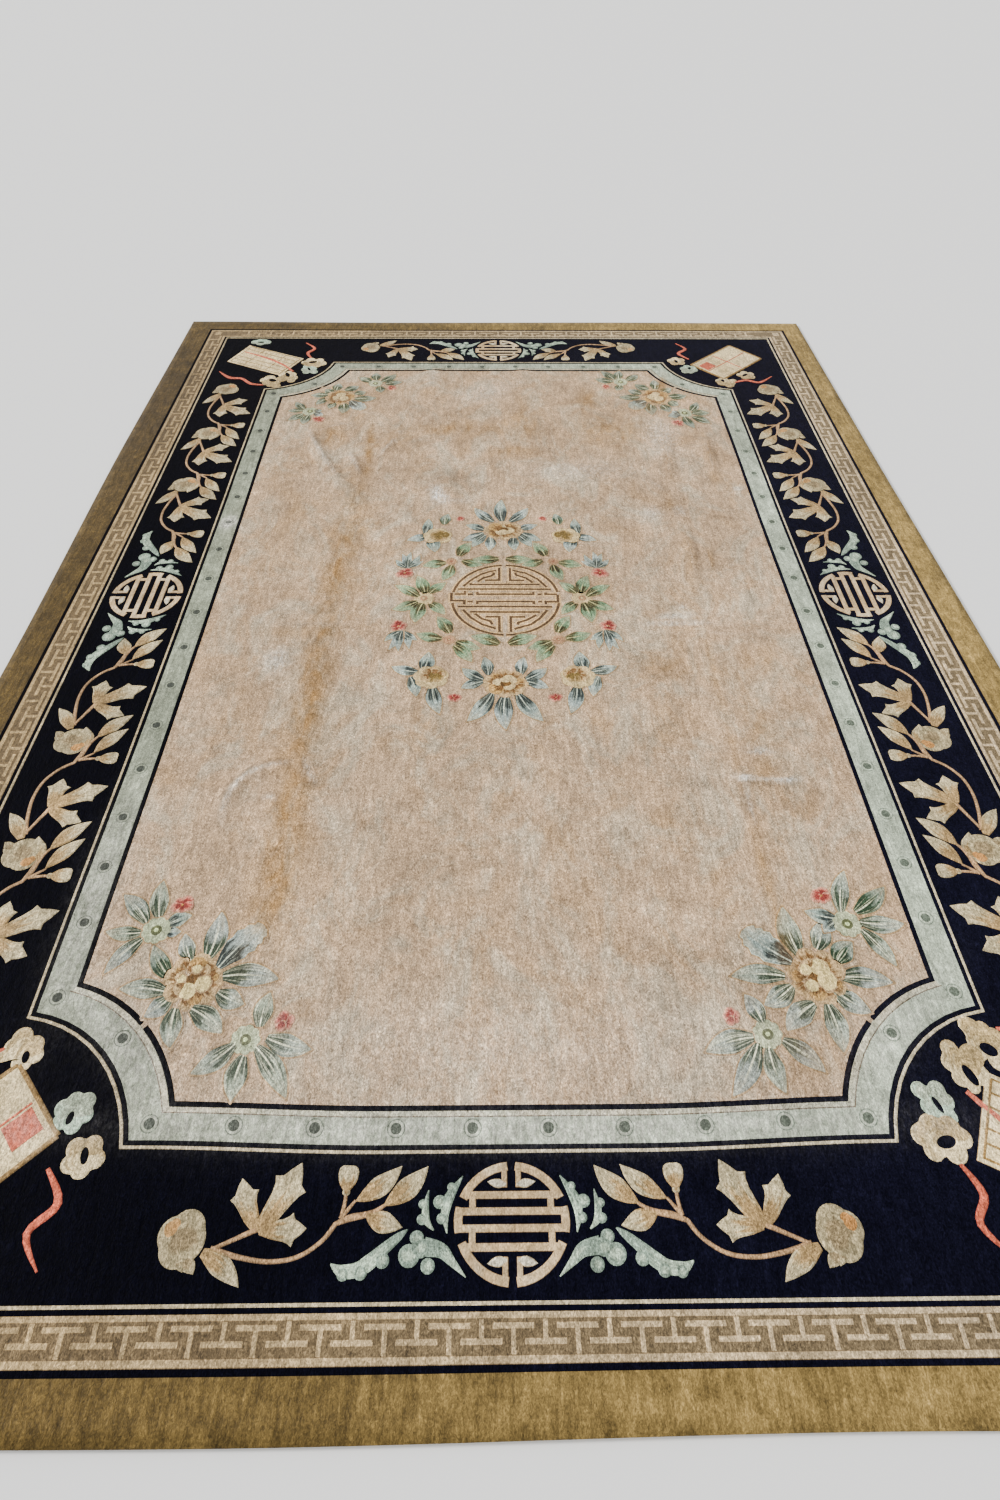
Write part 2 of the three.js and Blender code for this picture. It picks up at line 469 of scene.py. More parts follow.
def make_pile_group() -> bpy.types.NodeTree:
    """Makes the group for cut silk pile: cloudy shading, woven rows and tuft grain.

    Returns:
        The group. It takes a colour and puts out the shaded colour and a height.
    """
    inputs = {"Colour": GREY, "Cloud": 1.0, "Grain": 1.0}
    group, loom, source, target = new_group("silk_pile", inputs, ("Colour", "Height"))
    place = loom.put("TexCoord").outputs["Object"]
    tufts = loom.noise(loom.stretched(place, 125, 85, 20), 1, 2, 2.2, 0.7)
    fibres = loom.noise(loom.stretched(place, 330, 200), 1, 2, 1.0)
    brushed = loom.noise(loom.stretched(place, 110, 11), 1, 3, 0.5)
    combed = loom.noise(loom.stretched(place, 52, 26, 4), 1, 3, 0.9, 0.6)
    clouds = (
        (loom.noise(place, 2.2, 2, 0.5), 0.6),
        (loom.noise(loom.stretched(place, 1, 0.8), 9, 5, 0.8, 0.62), 1.0),
        (combed, 1.3),
        (brushed, 0.9),
        (loom.noise(loom.stretched(place, 7, 90), 1, 3), 0.3),
    )
    shaded = loom.math("MULTIPLY", loom.weighed(clouds), source.outputs["Cloud"])
    grain = loom.weighed(((tufts, 2.8), (fibres, 2.6)))
    grain = loom.math("MULTIPLY", grain, source.outputs["Grain"])
    level = loom.math("EXPONENT", loom.math("ADD", shaded, grain))
    scaled = loom.put("VectorMath", {0: source.outputs["Colour"], "Scale": level}, operation="SCALE")
    loom.tree.links.new(scaled.outputs[0], target.inputs["Colour"])
    height = loom.weighed(((tufts, 1.6), (fibres, 0.6), (brushed, 1.2), (combed, 1.8)))
    loom.tree.links.new(height, target.inputs["Height"])
    return group


def make_stain_and_shading_group() -> bpy.types.NodeTree:
    """Makes the group for stains and painted crease shading: rust, soot and bleached pile, with painted
    shade and highlights, broken up by the pile.

    Returns:
        The group. It takes a colour and puts out the stained colour with its painted crease shading.
    """
    inputs = {"Colour": GREY, "Amount": 1.0}
    group, loom, source, target = new_group("stains_and_shading", inputs, ("Colour",))
    place = loom.put("TexCoord").outputs["Object"]
    painted = loom.put("Attribute", attribute_name="stains_and_shading").outputs["Color"]
    split = loom.put("SeparateColor", {0: painted})
    broken = loom.noise(loom.stretched(place, 26, 12), 1, 5, 0.7)
    fine = loom.noise(loom.stretched(place, 120, 60), 1, 4, 0.4)
    rough = loom.ramp(broken, 0.3, 0.68, (0.5, 1.15))
    torn = loom.ramp(fine, 0.32, 0.66, (0.3, 1.3))
    colour = source.outputs["Colour"]
    # The soot colour also paints crease shade, and the bleach colour crease highlights, read from the
    # same channels.
    for kind, broken_up, strength, shade in (
        (StainAndShade.RUST, rough, 0.8, (152, 113, 62)),
        (StainAndShade.SOOT_AND_SHADE, rough, 0.44, (52, 46, 41)),
        (StainAndShade.BLEACH_AND_HIGHLIGHT, torn, 0.9, (246, 241, 229)),
    ):
        share = loom.math("MULTIPLY", split.outputs[kind.value], broken_up)
        share = loom.math("MULTIPLY", share, strength)
        share = loom.math("MULTIPLY", share, source.outputs["Amount"], clamp=True)
        colour = loom.blend(share, colour, linear(*shade))
    loom.tree.links.new(colour, target.inputs["Colour"])
    return group


# A petal's light veins: place across, width, length and strength
PETAL_VEINS = ((0, 0.13, 0.7, 1), (-0.55, 0.07, 0.45, 0.5), (0.55, 0.07, 0.45, 0.5))


def make_petal_group() -> bpy.types.NodeTree:
    """Makes the group for shaded petals: two dark hearts beside a light vein, and a faded tip.

    Returns:
        The group. It reads the shade attribute, along and across each petal.
    """
    inputs = {
        "Heart": GREY, "Tip": GREY, "Other tip": GREY, "Vein": GREY, "Fade": GREY,
        "Turn": 0.45, "Veins": 0.7, "Fading": 0.0,
    }
    group, loom, source, target = new_group("petal_shading", inputs, ("Colour",))
    given = source.outputs
    place = loom.put("TexCoord").outputs["Object"]
    along, across, rim = loom.shade()
    tone = loom.put("Attribute", attribute_name="tone").outputs["Fac"]
    combed = loom.put("CombineXYZ", {0: across, 1: along, 2: tone}).outputs[0]
    strands = loom.noise(loom.stretched(combed, 3.2, 1.0, deep=60), 1, 4)
    blotches = loom.noise(place, 62, 3, 0.6, 0.6)
    ragged = loom.weighed(((strands, 0.9), (blotches, 0.5)))
    rounded = loom.math("MULTIPLY", loom.math("MULTIPLY", across, across), 0.1)
    reach = loom.math("ADD", loom.math("ADD", along, rounded), ragged)
    start = loom.math("SUBTRACT", given["Turn"], 0.1)
    end = loom.math("ADD", given["Turn"], 0.2)
    tip = loom.blend(tone, given["Tip"], given["Other tip"])
    colour = loom.blend(loom.ramp(reach, start, end), given["Heart"], tip)
    fine = loom.ramp(loom.noise(loom.stretched(combed, 9, 4, deep=9), 1, 3), 0.33, 0.67, (0.76, 1.2))
    colour = loom.put("VectorMath", {0: colour, "Scale": fine}, operation="SCALE").outputs[0]
    hairs = loom.noise(loom.stretched(combed, 11, 0.9, deep=40), 1, 2)
    hairs = loom.math("MULTIPLY", loom.ramp(hairs, 0.55, 0.68, (0, 0.62)), given["Veins"])
    colour = loom.blend(hairs, colour, given["Vein"])
    for side, width, length, share in PETAL_VEINS:
        gap = loom.math("ABSOLUTE", loom.math("SUBTRACT", across, side))
        narrowed = loom.math("SUBTRACT", width * 1.15, loom.math("MULTIPLY", along, width * 1.2))
        line = loom.math("DIVIDE", loom.math("SUBTRACT", narrowed, gap), 0.08, clamp=True)
        line = loom.math("MULTIPLY", line, loom.ramp(along, length - 0.25, length, (share, 0)))
        colour = loom.blend(loom.math("MULTIPLY", line, given["Veins"]), colour, given["Vein"])
    # The rim takes the vein colour: a light outline that is a painted highlight on the carved bevel.
    edge = loom.math("MULTIPLY", loom.ramp(rim, 0.3, 0.95), loom.math("MULTIPLY", given["Veins"], 0.5))
    colour = loom.blend(edge, colour, given["Vein"])
    faded = loom.math("MULTIPLY", loom.ramp(reach, 0.5, 1.05), given["Fading"])
    colour = loom.blend(faded, colour, given["Fade"])
    loom.tree.links.new(colour, target.inputs["Colour"])
    return group


class Groups:
    """The shader node groups that the rug's materials share."""

    def __init__(self) -> None:
        """Builds each group once."""
        self.pile, self.stains_and_shading, self.petal = make_pile_group(), make_stain_and_shading_group(), make_petal_group()


@dataclass(frozen=True)
class Silk:
    """A dyed silk pile of one colour, with an optional painted sheen that lightens it from left to
    right.
    """

    name: str
    colour: Shade
    right: Shade | None = None
    edge: Shade | None = None
    second: Shade | None = None
    third: Shade | None = None
    cloud: float = 1.0
    grain: float = 1.0
    stains_and_shading: float = 1.0
    sheen: float = 0.12
    gloss: float = 0.12
    roughness: float = 0.6
    relief: float = 0.6
    tuft: float = 0.0018

    def base(self, loom: Loom, groups: Groups) -> Socket | tuple:
        """Gives the dye's colour before the pile's own shading.

        Args:
            loom: Where its nodes go.
            groups: The shared node groups, not used by a plain silk.

        Returns:
            A colour, or the socket that holds one.
        """
        place = loom.put("TexCoord").outputs["Object"]
        colour = linear(*self.colour)
        if self.second:
            share = loom.noise(loom.stretched(place, 1, 0.8), 5.3, 6, 0.7, 0.66)
            share = loom.ramp(share, 0.42, 0.7, (0, 0.75))
            colour = loom.blend(share, colour, linear(*self.second))
        if self.third:
            share = loom.noise(loom.stretched(place, 1.1, 0.7, 4), 6.1, 6, 0.9, 0.7)
            share = loom.ramp(share, 0.44, 0.68, (0, 0.9))
            colour = loom.blend(share, colour, linear(*self.third))
        # Painted sheen: the colour eases from left to right into the lighter right-hand colour,
        # standing in for the silk pile's sheen.
        if self.right:
            side = loom.put("SeparateXYZ", {0: place}).outputs[0]
            colour = loom.blend(loom.ramp(side, -1.3, 1.3), colour, linear(*self.right))
        if self.edge:
            colour = loom.blend(loom.ramp(loom.shade()[2], 0.25, 0.85), colour, linear(*self.edge))
        return colour

    def material(self, groups: Groups) -> bpy.types.Material:
        """Makes the finished material.

        Args:
            groups: The shared node groups.

        Returns:
            The material, stained and given its painted crease shading and sheen, shaded and with its
            tufts as bump.
        """
        made = bpy.data.materials.new(self.name)
        made.use_nodes = True
        loom = Loom(made.node_tree)
        surface = made.node_tree.nodes["Principled BSDF"]
        inputs = {"Colour": self.base(loom, groups), "Amount": self.stains_and_shading}
        stained_and_shaded = loom.put("Group", inputs, node_tree=groups.stains_and_shading).outputs[0]
        inputs = {"Colour": stained_and_shaded, "Cloud": self.cloud, "Grain": self.grain}
        pile = loom.put("Group", inputs, node_tree=groups.pile).outputs
        inputs = {"Height": pile["Height"], "Strength": self.relief, "Distance": self.tuft}
        bump = loom.put("Bump", inputs).outputs[0]
        loom.tree.links.new(pile["Colour"], surface.inputs["Base Color"])
        loom.tree.links.new(bump, surface.inputs["Normal"])
        finish = {
            "Roughness": self.roughness, "Sheen Weight": self.sheen, "Sheen Roughness": 0.35,
            "Sheen Tint": linear(250, 226, 196), "Specular IOR Level": self.gloss,
        }
        for name, value in finish.items():
            surface.inputs[name].default_value = value
        return made


@dataclass(frozen=True)
class PetalSilk(Silk):
    """A dyed silk pile that is shaded along each petal or leaf."""

    tip: Shade = (200, 200, 200)
    vein: Shade = (220, 220, 215)
    other: Shade | None = None
    fade: Shade = (187, 164, 130)
    turn: float = 0.45
    veins: float = 0.7
    fading: float = 0.0

    def base(self, loom: Loom, groups: Groups) -> Socket | tuple:
        """Gives the petal's shaded colour. See Silk.base."""
        inputs = {
            "Heart": linear(*self.colour), "Tip": linear(*self.tip), "Vein": linear(*self.vein),
            "Other tip": linear(*(self.other or self.tip)), "Fade": linear(*self.fade),
            "Turn": self.turn, "Veins": self.veins, "Fading": self.fading,
        }
        return loom.put("Group", inputs, node_tree=groups.petal).outputs[0]


class Dye(Enum):
    """The silks of the rug, each with the finish that it is dyed to."""

    FIELD = Silk("field_silk", (188, 158, 125), second=(173, 140, 102), third=(194, 177, 150))
    # Each right-hand colour below is a painted sheen, lighter towards the right of the rug.
    NAVY = Silk("navy_silk", (3, 3, 10), right=(13, 13, 27), sheen=0.01, gloss=0.02, stains_and_shading=0.1)
    OLIVE = Silk("olive_silk", (83, 66, 32), right=(148, 123, 70), cloud=1.5, grain=0.7, sheen=0.04)
    CELADON = Silk("celadon_silk", (140, 146, 125), right=(176, 186, 164), cloud=1.2, grain=0.7)
    FRET_GROUND = Silk("key_ground_silk", (106, 88, 61), right=(118, 102, 76))
    FRET = Silk("key_silk", (172, 146, 103), right=(194, 172, 136), edge=(123, 101, 72))
    CREAM = Silk("cream_line_silk", (184, 166, 128), right=(198, 184, 150))
    STRIP = Silk("strip_silk", (188, 178, 150), second=(176, 182, 158))
    BROWN = Silk("carved_brown_silk", (88, 66, 44))
    PEARL = Silk("pearl_silk", (62, 66, 59), right=(92, 101, 88), edge=(98, 104, 92), stains_and_shading=0.1)
    PEARL_RING = Silk("pearl_ring_silk", (104, 110, 97), right=(124, 136, 120), stains_and_shading=0.2)
    ROUNDEL = Silk(
        "roundel_silk", (194, 164, 121), second=(222, 206, 172), edge=(122, 96, 68), grain=0.7,
    )
    ROUNDEL_TIP = Silk("roundel_tip_silk", (206, 196, 170), edge=(170, 150, 116))
    STEM = Silk("stem_silk", (176, 140, 100), edge=(123, 97, 72))
    LEAF = PetalSilk(
        "cream_leaf_silk", (168, 138, 92), tip=(190, 175, 136), vein=(136, 108, 76), veins=0.45,
    )
    FRUIT = PetalSilk("fruit_silk", (138, 120, 88), tip=(168, 153, 116), vein=(132, 109, 80), veins=0.0)
    BLUSH = Silk("blush_silk", (183, 129, 71), second=(176, 144, 95))
    CLOUD = PetalSilk(
        "cloud_silk", (175, 193, 168), tip=(132, 150, 133), vein=(86, 104, 94), turn=0.5, veins=0.1,
    )
    CORAL = Silk("coral_silk", (201, 99, 72), edge=(170, 80, 62))
    GOLD = Silk("gold_silk", (147, 115, 65), edge=(118, 91, 52))
    PAPER = Silk("paper_silk", (233, 210, 159), second=(202, 174, 124), edge=(145, 118, 79))
    BOW = PetalSilk(
        "cream_bow_silk", (182, 156, 108), tip=(227, 205, 156), vein=(152, 125, 87), veins=0.0,
    )
    PALE_BOW = PetalSilk(
        "pale_bow_silk", (161, 171, 147), tip=(179, 203, 176), vein=(123, 133, 119), veins=0.0,
    )
    GREEN_PETAL = PetalSilk(
        "green_petal_silk", (56, 68, 53), tip=(150, 160, 138), other=(156, 164, 156),
        vein=(236, 236, 200), turn=0.38, veins=1.0, fading=0.35,
    )
    DARK_PETAL = PetalSilk(
        "dark_petal_silk", (44, 62, 43), tip=(113, 128, 110), other=(135, 150, 136),
        vein=(228, 230, 190), turn=0.5, veins=0.9, fading=0.35,
    )
    BLUE_PETAL = PetalSilk(
        "blue_petal_silk", (46, 54, 53), tip=(142, 160, 148), other=(158, 172, 168),
        vein=(221, 230, 205), fade=(180, 173, 148), turn=0.42, veins=0.8, fading=0.8,
    )
    MOSS_PETAL = PetalSilk(
        "moss_petal_silk", (50, 46, 26), tip=(108, 140, 104), other=(134, 158, 122),
        vein=(206, 200, 140), fade=(178, 170, 136), turn=0.36, veins=0.8, fading=0.7,
    )
    PEONY = PetalSilk(
        "peony_silk", (104, 70, 36), tip=(160, 122, 70), other=(187, 148, 87), vein=(206, 175, 117),
        turn=0.5, veins=0.3,
    )
    PEONY_FOLD = PetalSilk(
        "peony_fold_silk", (112, 78, 42), tip=(200, 168, 118), other=(182, 148, 102),
        vein=(216, 192, 140), turn=0.52, veins=0.3, fading=0.2,
    )
    PEONY_LIGHT = Silk("peony_light_silk", (236, 212, 144), second=(201, 175, 114), edge=(148, 118, 75))
    OLIVE_PEONY = PetalSilk(
        "olive_peony_silk", (112, 90, 44), tip=(176, 146, 90), other=(164, 132, 78),
        vein=(206, 180, 120), turn=0.62, veins=0.2, fading=0.3,
    )
    HEART = Silk("heart_silk", (86, 61, 29), second=(124, 88, 46))
    DAISY = Silk("daisy_silk", (176, 184, 146), second=(186, 184, 150), edge=(170, 166, 128))
    DAISY_RING = Silk("daisy_ring_silk", (88, 92, 62), edge=(124, 128, 94))
    DAISY_DOT = Silk("daisy_dot_silk", (210, 224, 160))
    CREAM_DAISY = Silk(
        "cream_daisy_silk", (205, 180, 128), second=(196, 166, 120), edge=(186, 158, 112),
    )
    TAN_DAISY = Silk("tan_daisy_silk", (168, 128, 94), edge=(190, 156, 116))
    TAN_RING = Silk("tan_ring_silk", (134, 92, 68))
    RED_BUD = PetalSilk(
        "red_bud_silk", (130, 48, 44), tip=(178, 90, 76), other=(188, 104, 88),
        vein=(216, 140, 118), fade=(200, 148, 122), turn=0.5, veins=0.2, fading=1.0,
    )
    # A painted shade: the dark line round petals stands for the shade in their carved groove.
    GROOVE_SHADE = Silk("groove_shade_silk", (168, 138, 100))
    BAR = Silk("bar_silk", (220, 182, 130), edge=(196, 160, 112))


MITRE_LIMIT = 0.35
TINY = 1e-4


def mitred(points: Sequence[Vector], width: float, loop: bool = False) -> list[Vector]:
    """Works out half of a stroke's width at each point, square at its corners.

    Args:
        points: The stroke's middle line.
        width: The stroke's whole width.
        loop: Whether it closes on itself, its last point being its first.

    Returns:
        A vector from the middle to the right-hand edge at each point.
    """
    halves, last = [], len(points) - 1
    for i, point in enumerate(points):
        previous = points[last - 1] if loop and i == 0 else points[max(i - 1, 0)]
        following = points[1] if loop and i == last else points[min(i + 1, last)]
        before, after = (point - previous).normalized(), (following - point).normalized()
        along = (before + after).normalized()
        across = Vector((along.y, -along.x))
        straight = after if before.length == 0 else before
        lean = max(abs(across.dot(Vector((straight.y, -straight.x)))), MITRE_LIMIT)
        halves.append(across * (width / 2 / lean))
    return halves


@dataclass(frozen=True)
class Relief:
    """How a shape stands above its ground, in millimetres."""

    height: float = 1.3
    rim: float = 3.0
    level: float = 0.0
    sunk: float = 1.0


def closed(shape: Shape, relief: Relief) -> Shape:
    """Gives an open shape its sides and underside, sunk into its ground.

    Args:
        shape: The open top of a pile shape.
        relief: Where it stands.

    Returns:
        The same shape, closed.
    """
    grown = bmesh.ops.extrude_face_region(shape, geom=shape.faces[:])["geom"]
    for vert in (v for v in grown if isinstance(v, bmesh.types.BMVert)):
        vert.co.z = relief.level - relief.sunk
    return shape


def ribbon(
    centres: Sequence[Vector],
    halves: Sequence[Vector],
    relief: Relief,
    blunt: tuple[bool, bool] = (True, True),
) -> Shape:
    """Makes a long pile shape from its middle line and its half widths.

    Args:
        centres: Points along the middle.
        halves: From each point to the right-hand edge.
        relief: How it stands above its ground.
        blunt: Whether its first and last ends are bevelled like its sides.

    Returns:
        A closed shape, whose shade layer holds along, across and rim.
    """
    centres, halves = list(centres), list(halves)
    share_at = np.cumsum([0.0] + [(b - a).length for a, b in zip(centres, centres[1:])])
    stations = list(share_at / share_at[-1])
    tall = [1.0] * len(centres)
    for end, flat in ((0, blunt[0]), (-1, blunt[1])):
        if flat:
            near = 1 if end == 0 else len(centres) - 2
            span = (centres[near] - centres[end]).length
            share = min(relief.rim / span, 0.45)
            place = 1 if end == 0 else len(centres) - 1
            mid = centres[end].lerp(centres[near], share)
            half = halves[end].lerp(halves[near], share)
            station = stations[end] + (stations[near] - stations[end]) * share
            centres.insert(place, mid)
            halves.insert(place, half)
            stations.insert(place, station)
            tall.insert(place, 1.0)
            tall[end] = 0.0
    shape = bmesh.new()
    shade = shape.verts.layers.float_vector.new("shade")
    bmesh.ops.create_grid(shape, x_segments=4, y_segments=len(centres) - 1, size=1.0)
    for vert in shape.verts:
        column = round((vert.co.x + 1) * 2)
        i = round((vert.co.y + 1) / 2 * (len(centres) - 1))
        half = max(halves[i].length, TINY)
        inner = max(1 - relief.rim / half, 0.4)
        across = (-1, -inner, 0, inner, 1)[column]
        outer = column in (0, 4)
        height = 0.0 if outer else relief.height * tall[i] * min(1, half / relief.rim)
        flat = centres[i] + halves[i] * across
        vert.co = (flat.x, flat.y, relief.level + height)
        vert[shade] = (stations[i], across, 1.0 if outer or tall[i] == 0 else 0.0)
    bmesh.ops.remove_doubles(shape, verts=shape.verts[:], dist=TINY)
    return closed(shape, relief)


def framing(points: Sequence[Vector], width: float, relief: Relief) -> Shape:
    """Makes a line of even width once round a loop of points."""
    around = [*points, points[0]]
    return ribbon(around, mitred(around, width, loop=True), relief, (False, False))


def ring(outer: Sequence[Vector], inner: Sequence[Vector], relief: Relief) -> Shape:
    """Makes a closed band between two loops of as many points.

    Args:
        outer: The outer loop, without its first point at the end.
        inner: The inner loop, point for point.
        relief: How the band stands above its ground.

    Returns:
        The closed shape.
    """
    pairs = list(zip([*outer, outer[0]], [*inner, inner[0]]))
    middle, halves = [(a + b) / 2 for a, b in pairs], [(a - b) / 2 for a, b in pairs]
    return ribbon(middle, halves, relief, (False, False))


def polar(
    outline: Sequence[Vector],
    heart: Vector,
    relief: Relief,
    dome: float = 0,
    focus: Vector | None = None,
) -> Shape:
    """Makes a round or lobed pile shape from the outline round its heart.

    Args:
        outline: The shape's edge, once round.
        heart: A point inside, from which the whole edge can be seen.
        relief: How it stands above its ground.
        dome: How much higher its middle is than its edge, in millimetres.
        focus: The flower's middle, if the shape is a petal that is shaded outwards from it.

    Returns:
        A closed shape, whose shade layer holds the share outwards, the way round and the rim.
    """
    shape = bmesh.new()
    shade = shape.verts.layers.float_vector.new("shade")
    count = len(outline)
    gaps = [(point - focus).length for point in outline] if focus else [0.0, 1.0]
    near, far = min(gaps), max(gaps)
    bmesh.ops.create_grid(shape, x_segments=3, y_segments=count, size=1.0)
    for vert in shape.verts:
        circle = round((vert.co.x + 1) * 1.5)
        turn = round((vert.co.y + 1) / 2 * count)
        edge = outline[turn % count] - heart
        inner = max(1 - relief.rim / max(edge.length, TINY), 0.5)
        out = (0, inner * 0.55, inner, 1)[circle]
        flat = heart + edge * out
        rise = 0 if circle == 3 else relief.height + dome * (1 - (out / inner) ** 2)
        vert.co = (flat.x, flat.y, relief.level + rise)
        along, across = out, turn / count * 2 - 1
        if focus:
            along = ((flat - focus).length - near) / (far - near)
            across = (flat - focus).angle_signed(heart - focus, 0.0) * 2.2
        vert[shade] = (along, across, 1.0 if circle == 3 else 0.0)
    bmesh.ops.remove_doubles(shape, verts=shape.verts[:], dist=TINY)
    return closed(shape, relief)


def splined(knots: Sequence[Vector], parts: int) -> list[Vector]:
    """Draws a smooth curve through points.

    Args:
        knots: The points.
        parts: How many stretches it has from each point to the next.

    Returns:
        The points of the curve.
    """
    curve = []
    for i in range(len(knots) - 1):
        a, b = knots[max(i - 1, 0)], knots[i]
        c, d = knots[i + 1], knots[min(i + 2, len(knots) - 1)]
        for step in range(parts + (i == len(knots) - 2)):
            t = step / parts
            bent = b * 2 + (c - a) * t + (a * 2 - b * 5 + c * 4 - d) * t**2
            curve.append((bent + (b * 3 - a - c * 3 + d) * t**3) / 2)
    return curve


def lobed(heart: Point, lobes: Sequence[Row], steps: int = 36) -> list[Vector]:
    """Draws the edge round several overlapping circles, as seen from a point inside.

    Args:
        heart: The point inside.
        lobes: Each circle's centre, from the heart, and its radius.
        steps: How many points the edge has.

    Returns:
        The points of the edge.
    """
    edge = []
    for i in range(steps):
        turn = 2 * math.pi * i / steps
        way = Vector((math.cos(turn), math.sin(turn)))
        far = 2.0
        for x, y, radius in lobes:
            along = way.x * x + way.y * y
            inside = radius**2 - (x * x + y * y - along**2)
            if inside > 0:
                far = max(far, along + math.sqrt(inside))
        edge.append(Vector(heart) + way * far)
    return edge


def arc(centre: Point, radius: float, first: float, last: float, steps: int) -> list[Point]:
    """Gives points along an arc.

    Args:
        centre: The arc's centre.
        radius: Its radius.
        first: The angle that it starts at, in degrees.
        last: The angle that it ends at.
        steps: How many stretches it has.

    Returns:
        The points.
    """
    turns = (math.radians(first + (last - first) * i / steps) for i in range(steps + 1))
    return [(centre[0] + radius * math.cos(t), centre[1] + radius * math.sin(t)) for t in turns]


ONCE = Matrix.Identity(4)
MIRROR_X = Matrix.Diagonal((-1, 1, 1, 1))
MIRROR_Y = Matrix.Diagonal((1, -1, 1, 1))


class PatternPiece:
    """One piece of the pattern: many pile shapes joined into one mesh and laid."""

    def __init__(self, name: str, slot: str, dyes: Sequence[Dye]) -> None:
        """Starts an empty piece.

        Args:
            name: The piece's name.
            slot: The name of the record's material slot; it is not used.
            dyes: The silks that its shapes are dyed with.
        """
        self.name, self.slot, self.dyes = name, slot, list(dyes)
        self.whole = bmesh.new()
        self.whole.verts.layers.float_vector.new("shade")
        self.whole.verts.layers.float.new("tone")
        self.scratch = bpy.data.meshes.new("scratch")
        self.chance = random.Random(name)

    def add(self, shape: Shape, dye: Dye, place: Matrix | None = None) -> None:
        """Adds one shape.

        Args:
            shape: The shape, which is used up.
            dye: Its silk.
            place: How it is moved, turned or mirrored on the straight rug.
        """
        for face in shape.faces:
            face.material_index = self.dyes.index(dye)
        layer, tone = shape.verts.layers.float.new("tone"), self.chance.random()
        for vert in shape.verts:
            vert[layer] = tone
        if place is not None:
            bmesh.ops.transform(shape, matrix=place, verts=shape.verts[:])
        shape.to_mesh(self.scratch)
        shape.free()
        self.whole.from_mesh(self.scratch)

    def cut(self, shapes: Iterable["Carving"], place: Matrix = ONCE, lift: float = 0.07) -> None:
        """Adds all shapes of a motif.

        Args:
            shapes: The motif's shapes.
            place: How the motif is moved, turned or mirrored.
            lift: How much higher each next shape of a dozen lies, so that no two tops meet.
        """
        for i, carving in enumerate(shapes):
            raised = Matrix.Translation((0, 0, lift * (i % 12))) @ place
            for shape, dye in carving.layers():
                self.add(shape, dye, raised)

    def finish(self, rug: LaidRug, materials: dict[Dye, bpy.types.Material]) -> bpy.types.Object:
        """Lays the piece on the rug and dresses it.

        Args:
            rug: The rug that it lies on.
            materials: The material of each silk.

        Returns:
            The finished piece, riding on the rug's body.
        """
        bmesh.ops.recalc_face_normals(self.whole, faces=self.whole.faces[:])
        mesh = bpy.data.meshes.new(self.name)
        self.whole.to_mesh(mesh)
        self.whole.free()
        bpy.data.meshes.remove(self.scratch)
        return finish_piece(mesh, rug, [materials[dye] for dye in self.dyes])


def finish_piece(
    mesh: bpy.types.Mesh, rug: LaidRug, materials: Sequence[bpy.types.Material]
) -> bpy.types.Object:
    """Lays a mesh drawn on the straight rug, paints its stains and painted crease shading, and makes it
    a piece.

    Args:
        mesh: The mesh, in millimetres, with heights above the rug's top.
        rug: The rug that it lies on.
        materials: Its materials in order.

    Returns:
        The piece.
    """
    flat = np.zeros(len(mesh.vertices) * 3)
    mesh.vertices.foreach_get("co", flat)
    flat = flat.reshape(-1, 3)
    painted = mesh.color_attributes.new("stains_and_shading", "FLOAT_COLOR", "POINT")
    painted.data.foreach_set("color", stains_and_shading_at(flat[:, :2], rug.creases).ravel())
    flat[:, 2] += rug.thickness
    mesh.vertices.foreach_set("co", rug.lay(flat).ravel())
    for material in materials:
        mesh.materials.append(material)
    mesh.update()
    piece = bpy.data.objects.new(mesh.name, mesh)
    bpy.context.scene.collection.objects.link(piece)
    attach(piece, "root")
    LOG.info("%s: %d faces", piece.name, len(mesh.polygons))
    return piece


